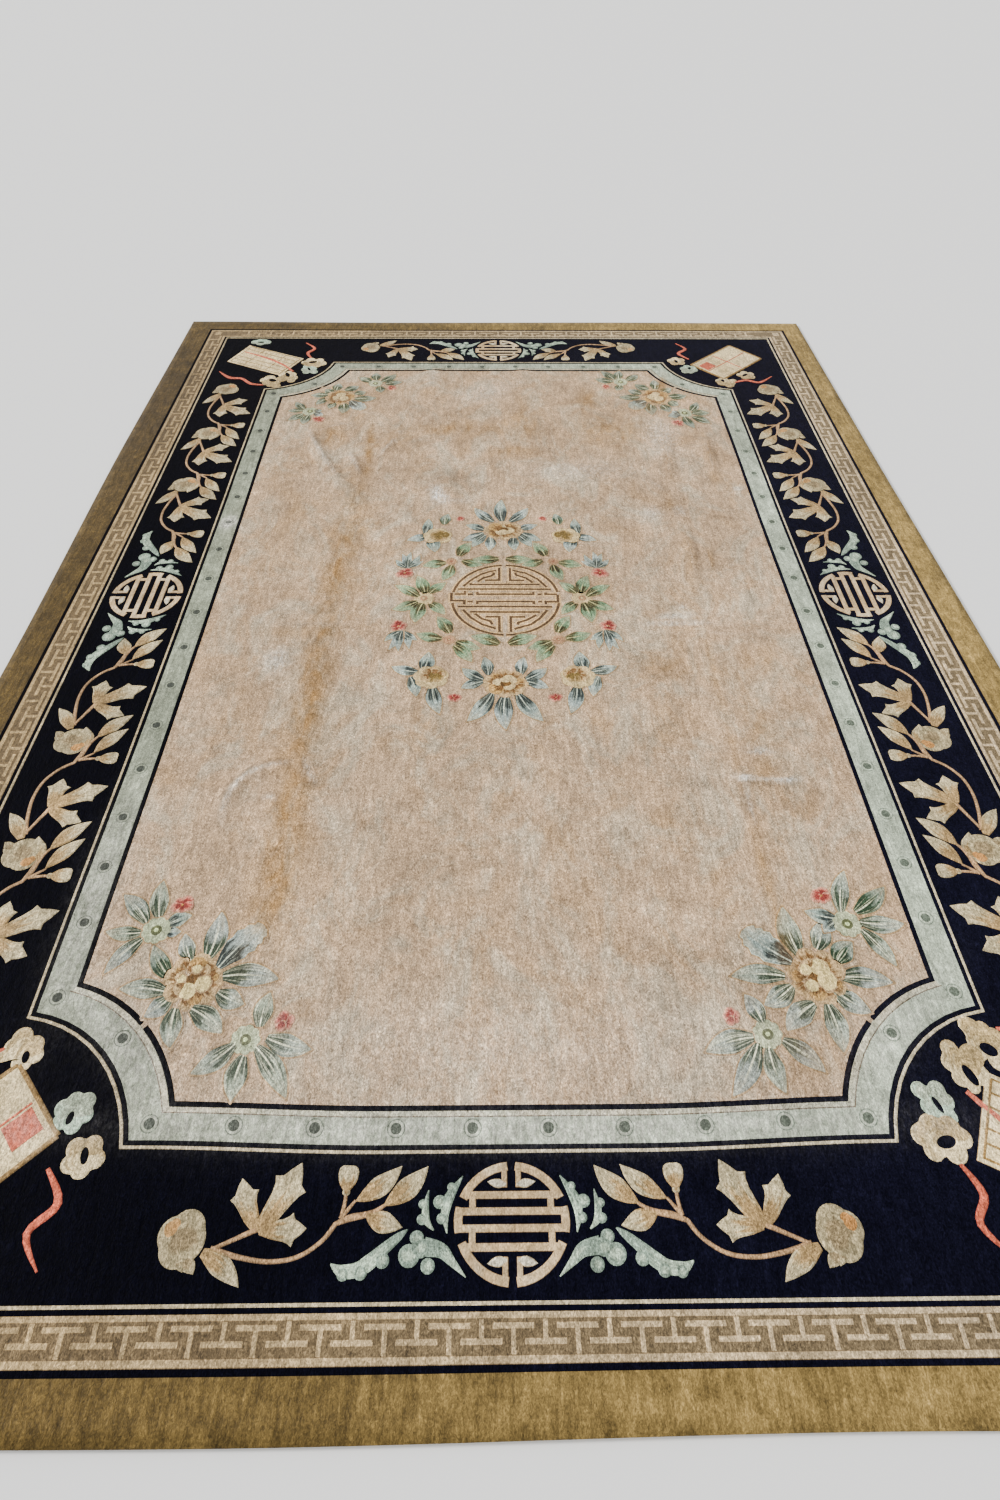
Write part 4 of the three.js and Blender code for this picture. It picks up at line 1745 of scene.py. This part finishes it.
@dataclass(frozen=True)
class Border:
    """The navy border: roundels, clouds, fruiting vines and tied bundles at the corners.

    All of it is drawn for the left side, and turned, mirrored and set in the others.
    """

    layout: Layout
    roundel: Point = (-1186, 0)
    ring: Point = (109, 18)
    arcs: tuple[Row, ...] = (
        (4, 66, 8), (75.5, 102, 4), (112, 176, 8), (184, 248, 8), (258, 284.5, 4), (294, 356, 8),
    )
    bars: tuple[Point, ...] = ((-49.5, 97), (-14.5, 105), (18.5, 105), (51, 97))
    bar_width: float = 16
    vines: int = 3
    period: float = 385
    near_share: float = 0.968

    def pieces(self) -> list[PatternPiece]:
        """Makes the whole border."""
        pale = [Dye.ROUNDEL, Dye.ROUNDEL_TIP]
        tied = [Dye.BOW, Dye.PALE_BOW, Dye.PAPER, Dye.GOLD, Dye.CORAL]
        fruiting = [Dye.STEM, Dye.LEAF, Dye.FRUIT, Dye.BLUSH]
        roundels = PatternPiece("border_roundels", "cream_silk", pale)
        clouds = PatternPiece("border_clouds", "celadon_silk", [Dye.CLOUD])
        vines = PatternPiece("border_vines", "cream_silk", fruiting)
        bundles = PatternPiece("corner_bundles", "cream_silk", tied)
        for place in (*SIDES, *self.layout.ends()):
            roundels.cut(self.lattice(), place)
            for half in (ONCE, MIRROR_Y):
                clouds.cut(self.cloud(), place @ half)
        nearer = Matrix.Diagonal((1, -self.near_share, 1, 1))
        for k in range(self.vines):
            lifted = Matrix.Translation((0, k * self.period, 0))
            for place in SIDES:
                vines.cut(self.vine(), place @ lifted)
                vines.cut(self.vine(), place @ nearer @ lifted)
        for place in self.layout.ends():
            for half in (ONCE, MIRROR_Y):
                vines.cut(self.vine(), place @ half)
        for place in (ONCE, MIRROR_X @ MIRROR_Y):
            bundles.cut(self.scrolls(), place)
            bundles.cut(self.book(), place)
        return [roundels, clouds, vines, bundles]

    def lattice(self) -> list[Carving]:
        """Draws the roundel: a broken ring with four bars and two pairs of hooks."""
        (x, y), (radius, width) = self.roundel, self.ring
        pale, tip = Dye.ROUNDEL, Dye.ROUNDEL_TIP
        parts: list[Carving] = [
            Stroke(tuple(arc((x, y), radius, first, last, steps)), width, pale)
            for first, last, steps in self.arcs
        ]
        for offset, reach in self.bars:
            bar = ((x + offset, -reach), (x + offset, 0), (x + offset, reach))
            parts.append(Stroke(bar, self.bar_width, pale))
        for side in (-1, 1):
            for (left, _), (right, _) in (self.bars[:2], self.bars[2:]):
                rung = ((x + left, side * 80), (x + right, side * 80))
                parts.append(Stroke(rung, 14, pale))
            for out in (-1, 1):
                arm = ((x + out * 104, side * 14.5), (x + out * 66, side * 14.5))
                root, end = (x + out * 72, side * 11), (x + out * 78, side * 50)
                parts += [Stroke(arm, 12, pale), Leaf(root, end, 19, tip, Cut.PETAL, 0)]
        return parts

    def cloud(self) -> list[Carving]:
        """Draws the curling cloud beyond the roundel."""
        stems = (
            (
                (
                    (-1262, 358), (-1274, 335), (-1272, 305), (-1258, 280), (-1236, 254), (-1215, 228),
                    (-1201, 210),
                ),
                (3, 22, 26, 28, 22, 16, 3),
            ),
            (((-1286, 92), (-1260, 120), (-1240, 142), (-1233, 176)), (2, 16, 28, 36)),
            (((-1209, 131), (-1172, 136), (-1136, 127), (-1096, 101)), (2, 16, 20, 2)),
            (((-1203, 158), (-1185, 173), (-1158, 176), (-1124, 171)), (3, 14, 13, 2)),
        )
        rounds = (
            (-1279, 332, 12), (-1277, 298, 13), (-1257, 257, 14), (-1267, 167, 14), (-1249, 205, 21),
            (-1217, 191, 14), (-1236, 182, 18), (-1181, 142, 11), (-1148, 147, 14), (-1118, 124, 9),
            (-1182, 182, 11), (-1152, 181, 10),
        )
        parts: list[Carving] = [Stem(points, widths, Dye.CLOUD) for points, widths in stems]
        return parts + [disc((x, y), radius, Dye.CLOUD, Relief(1.4, 3.0)) for x, y, radius in rounds]

    def vine(self) -> list[Carving]:
        """Draws one length of vine: a node with leaves and a bud, and a fruit beyond."""
        leaf = Dye.LEAF
        stems = (
            (
                ((-1187, 355), (-1221, 380), (-1249, 424), (-1257, 480), (-1249, 541), (-1234, 600)),
                (10, 9, 9, 9, 10, 12),
            ),
            (
                ((-1190, 358), (-1178, 328), (-1172, 298), (-1164, 276), (-1152, 258)),
                (9, 15, 13, 10, 7),
            ),
            (((-1180, 348), (-1163, 335), (-1143, 320)), (10, 8, 6)),
            (((-1176, 346), (-1150, 342), (-1122, 341)), (9, 8, 7)),
            (((-1172, 300), (-1178, 292)), (8, 5)),
            (((-1234, 594), (-1218, 556), (-1199, 512)), (8, 9, 12)),
        )
        fruit = ((0, 2, 45), (20, -4, 34), (-16, 10, 36), (6, 18, 36))
        blush = Relief(0.3, 12, 1.75)
        return [
            *(Stem(points, widths, Dye.STEM) for points, widths in stems),
            Leaf((-1154, 262), (-1076, 174), 46, leaf, bend=-0.05),
            Leaf((-1145, 320), (-1075, 229), 43, leaf, bend=-0.05),
            Leaf((-1171, 298), (-1197, 221), 44, leaf, bend=-0.04),
            Leaf((-1240, 614), (-1299, 531), 40, leaf, Cut.PETAL, bend=0.05),
            disc((-1127, 341), 8, leaf, Relief()),
            Leaf((-1124, 341), (-1074, 339), 42, leaf, Cut.BUD, bend=0),
            Leaf((-1202, 512), (-1104, 560), 60, leaf, Cut.TOOTHED, bend=0.05),
            Leaf((-1200, 508), (-1198, 414), 64, leaf, Cut.TOOTHED, bend=-0.02),
            Leaf((-1204, 512), (-1070, 440), 74, leaf, Cut.TOOTHED, bend=-0.03),
            Lobes((-1217, 656), fruit, Dye.FRUIT, dome=0.9),
            Lobes((-1200, 684), ((0, 0, 15), (10, -6, 10)), Dye.BLUSH, relief=blush),
            Leaf((-1252, 650), (-1277, 624), 26, Dye.FRUIT, Cut.PETAL),
            Leaf((-1250, 664), (-1274, 646), 18, Dye.FRUIT, Cut.PETAL),
        ]

    @staticmethod
    def bows(rows: Sequence[tuple]) -> list[Carving]:
        """Draws loops of bows, lobed outside and open in their middle, from their rows."""
        return [Lobes(heart, circles, dye, hole, steps) for heart, dye, steps, hole, circles in rows]

    @staticmethod
    def rule(first: Vector, last: Vector, width: float, dye: Dye, relief: Relief) -> Stroke:
        """Draws a straight line on a bundle, with a point at its middle."""
        middle = first.lerp(last, 0.5)
        return Stroke((tuple(first), tuple(middle), tuple(last)), width, dye, relief)

    def scrolls(self) -> list[Carving]:
        """Draws the bundle of scrolls tied with bows, for the near right corner."""
        cover = ((1000, -1560), (1275, -1700), (1200, -1870), (915, -1730))
        start, across, along = Vector(cover[0]), Vector((275, -140)), Vector((-85, -170))
        parts = [*self.bows(SCROLL_BOWS[:4]), Plate(cover, Dye.PAPER)]
        for shares, way, beside, ends, height in (
            ((0.06, 0.22, 0.38, 0.62, 0.78, 0.94), along, across, (0.03, 0.97), 1.7),
            ((0.04, 0.96, 0.3, 0.7), across, along, (0.06, 0.94), 1.8),
        ):
            for share in shares:
                first, last = (start + way * share + beside * end for end in ends)
                parts.append(self.rule(first, last, 7, Dye.GOLD, Relief(height, 2)))
        for points, widths, height in (
            (((945, -1600), (1010, -1672), (1100, -1740), (1210, -1800)), (10, 17, 17, 10), 2.3),
            (
                ((1060, -1470), (1120, -1482), (1170, -1530), (1230, -1540), (1290, -1600)),
                (8, 16, 14, 18, 4), 1.3,
            ),
            (((880, -1735), (905, -1790), (880, -1840), (930, -1900)), (8, 16, 14, 4), 1.3),
        ):
            parts.append(Stem(points, widths, Dye.CORAL, Relief(height, 3)))
        return parts + self.bows(SCROLL_BOWS[4:])

    def book(self) -> list[Carving]:
        """Draws the tied book, for the near left corner."""
        cover = ((-1030, -1532), (-901, -1671), (-1120, -1875), (-1249, -1736))
        label = ((-972, -1614), (-931, -1658), (-980, -1703), (-1020, -1659))
        parts = [*self.bows(BOOK_BOWS), Plate(cover, Dye.PAPER)]
        for first, last in zip(cover, cover[1:] + cover[:1]):
            parts.append(self.rule(Vector(first), Vector(last), 12, Dye.GOLD, Relief(1.9, 3)))
        parts += [
            Plate(label, Dye.CORAL, Relief(1.7, 3)),
            Stroke(((-973, -1608), (-1075, -1703), (-1177, -1799)), 7, Dye.CORAL, Relief(2.0, 2)),
            Stroke(((-1133, -1641), (-1075, -1703), (-1017, -1765)), 7, Dye.CORAL, Relief(2.1, 2)),
        ]
        for points in (
            ((-1068, -1497), (-1130, -1520), (-1190, -1500), (-1262, -1560)),
            ((-900, -1730), (-860, -1790), (-900, -1840), (-860, -1900)),
        ):
            parts.append(Stem(points, (8, 16, 14, 4), Dye.CORAL))
        return parts


@dataclass(frozen=True)
class Spray:
    """A corner's spray: a peony among petals, with two daisies and two buds.

    Petals are rows of base x, base y, tip x, tip y and width. A bud's row is its middle,
    radius, size along the rug and turn.
    """

    green: tuple[Row, ...]
    dark: tuple[Row, ...]
    blue: tuple[Row, ...]
    ragged: Row
    heart: Point
    turn: float
    daisies: tuple[tuple[Point, float], ...]
    buds: tuple[tuple[Point, float, float, float], ...]

    def parts(self, reach: float = 1, dye: Dye = Dye.GREEN_PETAL) -> list[Carving]:
        """Draws the spray.

        Args:
            reach: How far its petals reach, as a share. Below 1 its peony is golden too.
            dye: The silk of its green petals.

        Returns:
            Its shapes, the lowest first.
        """
        made: list[Carving] = []
        made += petals(dye, self.green, reach=reach)
        made += petals(Dye.DARK_PETAL, self.dark, reach=reach)
        made += petals(Dye.BLUE_PETAL, self.blue, reach=reach)
        made += petals(Dye.BLUE_PETAL, [self.ragged], Cut.RAGGED, reach)
        made += peony(self.heart, 70, 1.02, self.turn, golden=reach < 1)
        for place, radius in self.daisies:
            made += daisy(place, radius, Eye.GREEN)
        for row in self.buds:
            made += bud(*row)
        return made


RIGHT_SPRAY = Spray(
    green=(
        (670, -1285, 661, -1167, 60), (718, -1272, 747, -1203, 54), (761, -1350, 870, -1364, 56),
        (736, -1385, 799, -1432, 54), (704, -1419, 709, -1521, 54), (668, -1415, 598, -1470, 56),
        (628, -1373, 560, -1412, 54), (616, -1346, 498, -1345, 52), (801, -1178, 840, -1068, 48),
        (845, -1212, 944, -1216, 52), (838, -1240, 888, -1328, 46), (515, -1482, 412, -1508, 54),
        (525, -1500, 453, -1599, 52), (553, -1512, 568, -1598, 48), (592, -1494, 662, -1560, 50),
        (547, -1440, 522, -1384, 46),
    ),
    dark=((756, -1308, 804, -1262, 56), (840, -1180, 926, -1114, 52)),
    blue=((775, -1200, 708, -1180, 46), (772, -1215, 742, -1240, 36)),
    ragged=(642, -1306, 556, -1228, 82),
    heart=(697, -1347),
    turn=20,
    daisies=(((804, -1217), 36), ((556, -1474), 34)),
    buds=(((762, -1141), 27, 0.75, 60), ((486, -1434), 21, 0.8, 100)),
)
LEFT_SPRAY = Spray(
    green=(
        (-830, -1182, -845, -1086, 50), (-862, -1196, -934, -1126, 50), (-868, -1228, -948, -1224, 42),
        (-858, -1250, -918, -1333, 44), (-731, -1291, -757, -1229, 44), (-691, -1286, -684, -1172, 58),
        (-638, -1338, -516, -1345, 60), (-642, -1378, -584, -1402, 52), (-692, -1417, -620, -1468, 56),
        (-734, -1420, -724, -1500, 52), (-759, -1392, -801, -1431, 50), (-775, -1373, -875, -1367, 52),
        (-541, -1441, -531, -1372, 48), (-514, -1475, -420, -1495, 52), (-536, -1500, -460, -1597, 52),
        (-566, -1520, -573, -1606, 52), (-596, -1494, -672, -1552, 50),
    ),
    dark=((-770, -1334, -824, -1257, 46),),
    blue=((-799, -1206, -750, -1184, 42), (-798, -1226, -766, -1226, 32)),
    ragged=(-656, -1310, -572, -1217, 76),
    heart=(-711, -1348),
    turn=130,
    daisies=(((-827, -1223), 36), ((-568, -1478), 34)),
    buds=(((-782, -1157), 28, 0.8, 60), ((-491, -1438), 24, 0.8, 100)),
)


@dataclass(frozen=True)
class Field:
    """The field's pattern: the middle lattice, its wreath and the four corner sprays."""

    middle: Point = (9, -20)
    radius: float = 178
    far_reach: float = 0.74

    def pieces(self) -> list[PatternPiece]:
        """Makes the lattice, the wreath and the sprays."""
        flowers = [
            Dye.GREEN_PETAL, Dye.DARK_PETAL, Dye.BLUE_PETAL, Dye.MOSS_PETAL, Dye.PEONY, Dye.PEONY_FOLD,
            Dye.PEONY_LIGHT, Dye.OLIVE_PEONY, Dye.HEART, Dye.DAISY, Dye.DAISY_RING, Dye.DAISY_DOT,
            Dye.CREAM_DAISY, Dye.TAN_DAISY, Dye.TAN_RING, Dye.RED_BUD, Dye.BLUSH, Dye.GROOVE_SHADE, Dye.FIELD,
        ]
        lattice = PatternPiece("centre_lattice", "cream_silk", [Dye.BAR, Dye.BROWN])
        lattice.cut(self.lattice(), Matrix.Translation((1, -3, 0)), lift=0.02)
        wreath = PatternPiece("centre_wreath", "flower_silk", flowers)
        lower = Matrix.Translation((0, -4, 0))
        wreath.cut(self.wreath(), lower)
        for place in (lower, Matrix.Translation((3, -4, 0)) @ MIRROR_X):
            wreath.cut(self.wreath_half(), place)
        sprays = PatternPiece("corner_sprays", "flower_silk", flowers)
        near = Matrix.Translation((3, -2, 0))
        sprays.cut(RIGHT_SPRAY.parts(), near)
        sprays.cut(LEFT_SPRAY.parts(), near)
        far = MIRROR_Y @ Matrix.Translation((-6, 122, 0)) @ Matrix.Diagonal((1, 1.1, 1, 1))
        sprays.cut(RIGHT_SPRAY.parts(self.far_reach, Dye.DARK_PETAL), far)
        far = MIRROR_Y @ Matrix.Translation((13, -5, 0))
        sprays.cut(LEFT_SPRAY.parts(self.far_reach, Dye.DARK_PETAL), far)
        return [lattice, wreath, sprays]

    def lattice(self) -> list[Carving]:
        """Draws the round lattice in carved lines."""
        lines: list[tuple[Point, ...]] = [
            tuple(arc(self.middle, self.radius, first, last, 16))
            for first, last in ((11.3, 89), (93.5, 168.7), (187.4, 267), (269.7, 352.6))
        ]
        lines += [
            ((-172, 10), (-172, -30), (-128, -30), (-128, -48)),
            ((183, 0), (183, -36), (142, -36), (142, -48)),
            ((-160, 4), (-127, 4), (-127, 20)), ((182, 2), (143, 2), (143, 12)),
            ((-108, 62), (-108, 54), (0, 54), (125, 54)), ((-150, 30), (0, 30), (162, 28)),
            ((-85, 16), (-85, 3), (0, 3), (102, 2), (102, 14)),
            ((-85, -48), (-85, -35), (0, -35), (102, -36), (102, -48)),
            ((-118, 3), (-100, 3)), ((116, 2), (130, 2)),
            ((-118, -35), (-100, -35)), ((116, -36), (130, -36)),
            ((-150, -60), (0, -60), (162, -62)), ((-108, -86), (0, -88), (120, -88)),
            ((-11, 145), (-11, 77), (-60, 77)), ((26, 143), (26, 76), (74, 76)),
            ((-13, -184), (-13, -111), (-58, -111)), ((24, -184), (24, -112), (72, -112)),
            ((-132, 45), (-110, 75), (-75, 108), (-45, 123), (-22, 130)),
            ((34, 130), (80, 115), (120, 82), (148, 40)),
            ((-132, -75), (-105, -115), (-70, -147), (-25, -168)),
            ((35, -170), (90, -148), (120, -118), (145, -78)),
            ((-85, 70), (-65, 90), (-40, 100), (-30, 108), (-30, 120)),
            ((44, 118), (46, 106), (80, 88), (102, 65)),
            ((-92, -95), (-70, -120), (-42, -133), (-36, -147)),
            ((108, -103), (75, -128), (48, -140), (46, -150)),
        ]
        bars = [Stroke(line, 21, Dye.BAR, Relief(0.35, 5)) for line in lines]
        return bars + [Stroke(line, 9.5, Dye.BROWN, Relief(0.75, 0.6)) for line in lines]

    def wreath(self) -> list[Carving]:
        """Draws the middle of the wreath: its far and near peony with a petal each."""
        parts: list[Carving] = []
        parts += petals(Dye.BLUE_PETAL, [(4, 428, 4, 566, 54), (4, -470, 4, -602, 60)])
        return parts + peony((7, 362), 74, 0.76, 90, True) + peony((4, -412), 74, 0.78, 270, True)

    def wreath_half(self) -> list[Carving]:
        """Draws the wreath's left half: half flowers, petal fans, daisies and leaves."""
        blue = [
            (-34, 424, -100, 510, 50), (-68, 368, -134, 398, 44), (-74, 344, -144, 300, 48),
            (-62, 326, -106, 260, 44), (-42, 314, -46, 240, 46),
            (-266, 322, -342, 300, 48), (-254, 310, -236, 230, 56), (-276, 350, -268, 440, 44),
            (-42, -464, -112, -570, 56), (-72, -410, -132, -436, 44), (-70, -392, -130, -346, 46),
            (-50, -370, -62, -296, 44), (-270, -362, -348, -338, 46), (-246, -352, -234, -272, 54),
            (-282, -394, -262, -470, 46), (-214, -430, -188, -540, 52),
        ]
        for x, y in ((-372, 194), (-352, 228), (-318, 240), (-286, 222), (-270, 182)):
            blue.append((-326 + (x + 326) * 0.2, 152, x, y, 30))
        for x, y in ((-378, -230), (-362, -270), (-328, -278), (-296, -266), (-270, -224)):
            blue.append((-322 + (x + 322) * 0.2, -186, x, y, 31))
        moss = [
            (-146, 220, -108, 292, 52), (-130, 183, -62, 160, 46), (-20, 196, -106, 196, 52),
            (-204, 170, -278, 152, 50), (-178, 150, -206, 74, 50), (-262, 14, -292, 104, 52),
            (-238, 14, -188, 66, 44), (-286, -4, -366, 52, 48), (-290, -38, -366, -76, 50),
            (-266, -52, -284, -142, 56), (-240, -44, -188, -102, 46), (-176, -180, -216, -106, 52),
            (-204, -212, -280, -188, 50), (-140, -232, -70, -262, 50), (-150, -254, -98, -324, 50),
            (-22, -238, -108, -202, 54),
        ]
        parts: list[Carving] = []
        parts += petals(Dye.BLUE_PETAL, blue)
        parts += petals(Dye.MOSS_PETAL, moss)
        parts += petals(Dye.DARK_PETAL, [(-206, 408, -194, 470, 46)])
        parts += half_flower((-230, 328), 52, (-212, 332)) + half_flower((-222, -386), 54, (-200, -362))
        parts += daisy((-262, -18), 36)
        parts += daisy((-176, 180), 20, Eye.TAN) + daisy((-172, -220), 22, Eye.TAN)
        parts += bud((-334, 116), 31, 0.8, 60) + bud((-336, -156), 30, 0.8, 100)
        parts += bud((-150, 436), 17) + bud((-150, -472), 21, 0.8, 10)
        return parts


GROUNDS = (Dye.OLIVE, Dye.FRET_GROUND, Dye.NAVY, Dye.FIELD)


@dataclass(frozen=True)
class GroundSheet:
    """The rug's own cloth: one closed sheet, dyed in its plain grounds."""

    rug: LaidRug
    layout: Layout

    def columns(self) -> list[float]:
        """Gives the places across the rug where the sheet is divided."""
        plain = [(-830, 28), (-440, 9.5), (570, 28), (890, 9.5), (1525, 28)]
        return self.places(-1525, plain, [self.layout.half(i)[0] for i in self.cuts()])

    def rows(self) -> list[float]:
        """Gives the places along the rug where the sheet is divided."""
        plain = [
            (-960, 30), (-690, 10), (-260, 30), (-70, 12), (40, 30), (350, 19), (580, 30),
            (1150, 12), (1440, 30), (1660, 18), (2135, 30),
        ]
        return self.places(-2135, plain, [self.layout.half(i)[1] for i in self.cuts()])

    def cuts(self) -> tuple[float, ...]:
        """Gives the distances from the edge where one plain ground meets another."""
        return self.layout.outer_line, self.layout.fret_line, self.layout.band_line

    @staticmethod
    def places(start: float, steps: Sequence[Point], exact: Sequence[float]) -> list[float]:
        """Divides a length in stretches of their own step, keeping some places exact.

        Args:
            start: Where the first stretch starts.
            steps: The end and the step of each stretch.
            exact: Places on both sides that a division has to meet.

        Returns:
            The places in order.
        """
        made, low = [start], start
        for high, step in steps:
            stops = [e for e in sorted([*exact, *(-x for x in exact)]) if low < e < high]
            for stop in [*stops, high]:
                count = max(1, round((stop - low) / step))
                made += [low + (stop - low) * i / count for i in range(1, count + 1)]
                low = stop
        return made

    def ground(self, x: float, y: float) -> Dye:
        """Says which ground a place belongs to.

        Args:
            x: The place across the rug.
            y: The place along it.

        Returns:
            The ground's silk.
        """
        for inset, dye in zip(self.cuts()[:2], GROUNDS):
            wide, long = self.layout.half(inset)
            if abs(x) > wide or abs(y) > long:
                return dye
        middle = (self.layout.band_line + self.layout.field_line) / 2
        (wide, long), (across, along, bulge) = self.layout.half(middle), self.layout.notch(middle)
        beyond = (abs(x) - wide + across) / across + (abs(y) - long + along) / along
        cut_off = beyond > 1 - bulge / max(across, along) * 1.4
        corner = abs(x) > wide - across and abs(y) > long - along
        outside = abs(x) > wide or abs(y) > long or (corner and cut_off)
        return Dye.NAVY if outside else Dye.FIELD

    def build(self, materials: dict[Dye, bpy.types.Material]) -> bpy.types.Object:
        """Args:
            materials: The material of each silk.

        Returns:
            The rug's sheet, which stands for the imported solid.
        """
        columns, rows = self.columns(), self.rows()
        sheet = bmesh.new()
        sheet.verts.layers.float_vector.new("shade")
        bmesh.ops.create_grid(sheet, x_segments=len(columns) - 1, y_segments=len(rows) - 1, size=1.0)
        for vert in sheet.verts:
            column = round((vert.co.x + 1) / 2 * (len(columns) - 1))
            row = round((vert.co.y + 1) / 2 * (len(rows) - 1))
            vert.co = (columns[column], rows[row], 0)
        for face in sheet.faces:
            middle = face.calc_center_median()
            face.material_index = GROUNDS.index(self.ground(middle.x, middle.y))
            face.smooth = True
        grown = bmesh.ops.extrude_face_region(sheet, geom=sheet.faces[:])["geom"]
        under = [v for v in grown if isinstance(v, bmesh.types.BMVert)]
        bmesh.ops.translate(sheet, verts=under, vec=(0, 0, -self.rug.thickness))
        for face in sheet.faces:
            if abs(face.normal.z) < 0.5:
                face.material_index = GROUNDS.index(Dye.OLIVE)
                face.smooth = False
        bmesh.ops.recalc_face_normals(sheet, faces=sheet.faces[:])
        mesh = bpy.data.meshes.new("rug_sheet")
        sheet.to_mesh(mesh)
        sheet.free()
        piece = finish_piece(mesh, self.rug, [materials[dye] for dye in GROUNDS])
        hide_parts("rug")
        return piece


@dataclass(frozen=True)
class Camera:
    """The camera that sees the rug as the photographer did, in metres and degrees."""

    place: Vector = field(default_factory=lambda: Vector((-0.0363, -2.0944, 1.7205)))
    pitch: float = 50.353
    heading: float = -0.896
    roll: float = 0.49
    lens: float = 19.02

    def build(self) -> None:
        """Makes the camera and gives it to the scene."""
        data = bpy.data.cameras.new("camera")
        data.lens = self.lens
        data.sensor_width = 36
        camera = bpy.data.objects.new("camera", data)
        turn = Matrix.Rotation(math.radians(self.heading), 4, "Z")
        tilt = Matrix.Rotation(math.radians(90 - self.pitch), 4, "X")
        spin = Matrix.Rotation(math.radians(self.roll), 4, "Z")
        camera.matrix_world = Matrix.Translation(self.place) @ turn @ tilt @ spin
        bpy.context.scene.collection.objects.link(camera)
        bpy.context.scene.camera = camera


@dataclass(frozen=True)
class Studio:
    """A plain pale floor and soft studio light."""

    floor_side: float = 40
    floor_drop: float = 0.0005
    sun_strength: float = 3.9
    sun_width: float = 11
    sun_from: tuple[float, float, float] = (-0.86, 0.2, 0.5)

    def build(self) -> None:
        """Makes the floor, the sun and the pale surroundings."""
        shape = bmesh.new()
        bmesh.ops.create_grid(shape, x_segments=1, y_segments=1, size=self.floor_side / 2)
        bmesh.ops.translate(shape, verts=shape.verts[:], vec=(0, 0, -self.floor_drop))
        mesh = bpy.data.meshes.new("floor")
        shape.to_mesh(mesh)
        shape.free()
        floor = bpy.data.objects.new("floor", mesh)
        material = bpy.data.materials.new("floor_paint")
        material.use_nodes = True
        surface = material.node_tree.nodes["Principled BSDF"]
        surface.inputs["Base Color"].default_value = linear(250, 250, 249)
        surface.inputs["Roughness"].default_value = 0.9
        mesh.materials.append(material)
        bpy.context.scene.collection.objects.link(floor)
        sun = bpy.data.lights.new("key", "SUN")
        sun.energy = self.sun_strength
        sun.angle = math.radians(self.sun_width)
        sun.color = (1.0, 0.975, 0.94)
        lamp = bpy.data.objects.new("key", sun)
        lamp.rotation_euler = Vector(self.sun_from).to_track_quat("Z", "Y").to_euler()
        bpy.context.scene.collection.objects.link(lamp)
        world = bpy.data.worlds.new("surroundings")
        world.use_nodes = True
        back = world.node_tree.nodes["Background"]
        back.inputs["Color"].default_value = (0.98, 0.99, 1.0, 1)
        back.inputs["Strength"].default_value = 1.0
        bpy.context.scene.world = world


def main() -> None:
    """Builds the rug, its pattern and the studio, in order."""
    logging.basicConfig(level=logging.INFO, format="%(name)s %(message)s")
    groups = Groups()
    materials = {dye: dye.value.material(groups) for dye in Dye}
    rug, layout = LaidRug(), Layout()
    Camera().build()
    Studio().build()
    sheet = GroundSheet(rug, layout).build(materials)
    pattern = [
        piece.finish(rug, materials)
        for maker in (Lines(layout), Fret(layout), Border(layout), Field())
        for piece in maker.pieces()
    ]


if __name__ == "__main__":
    main()
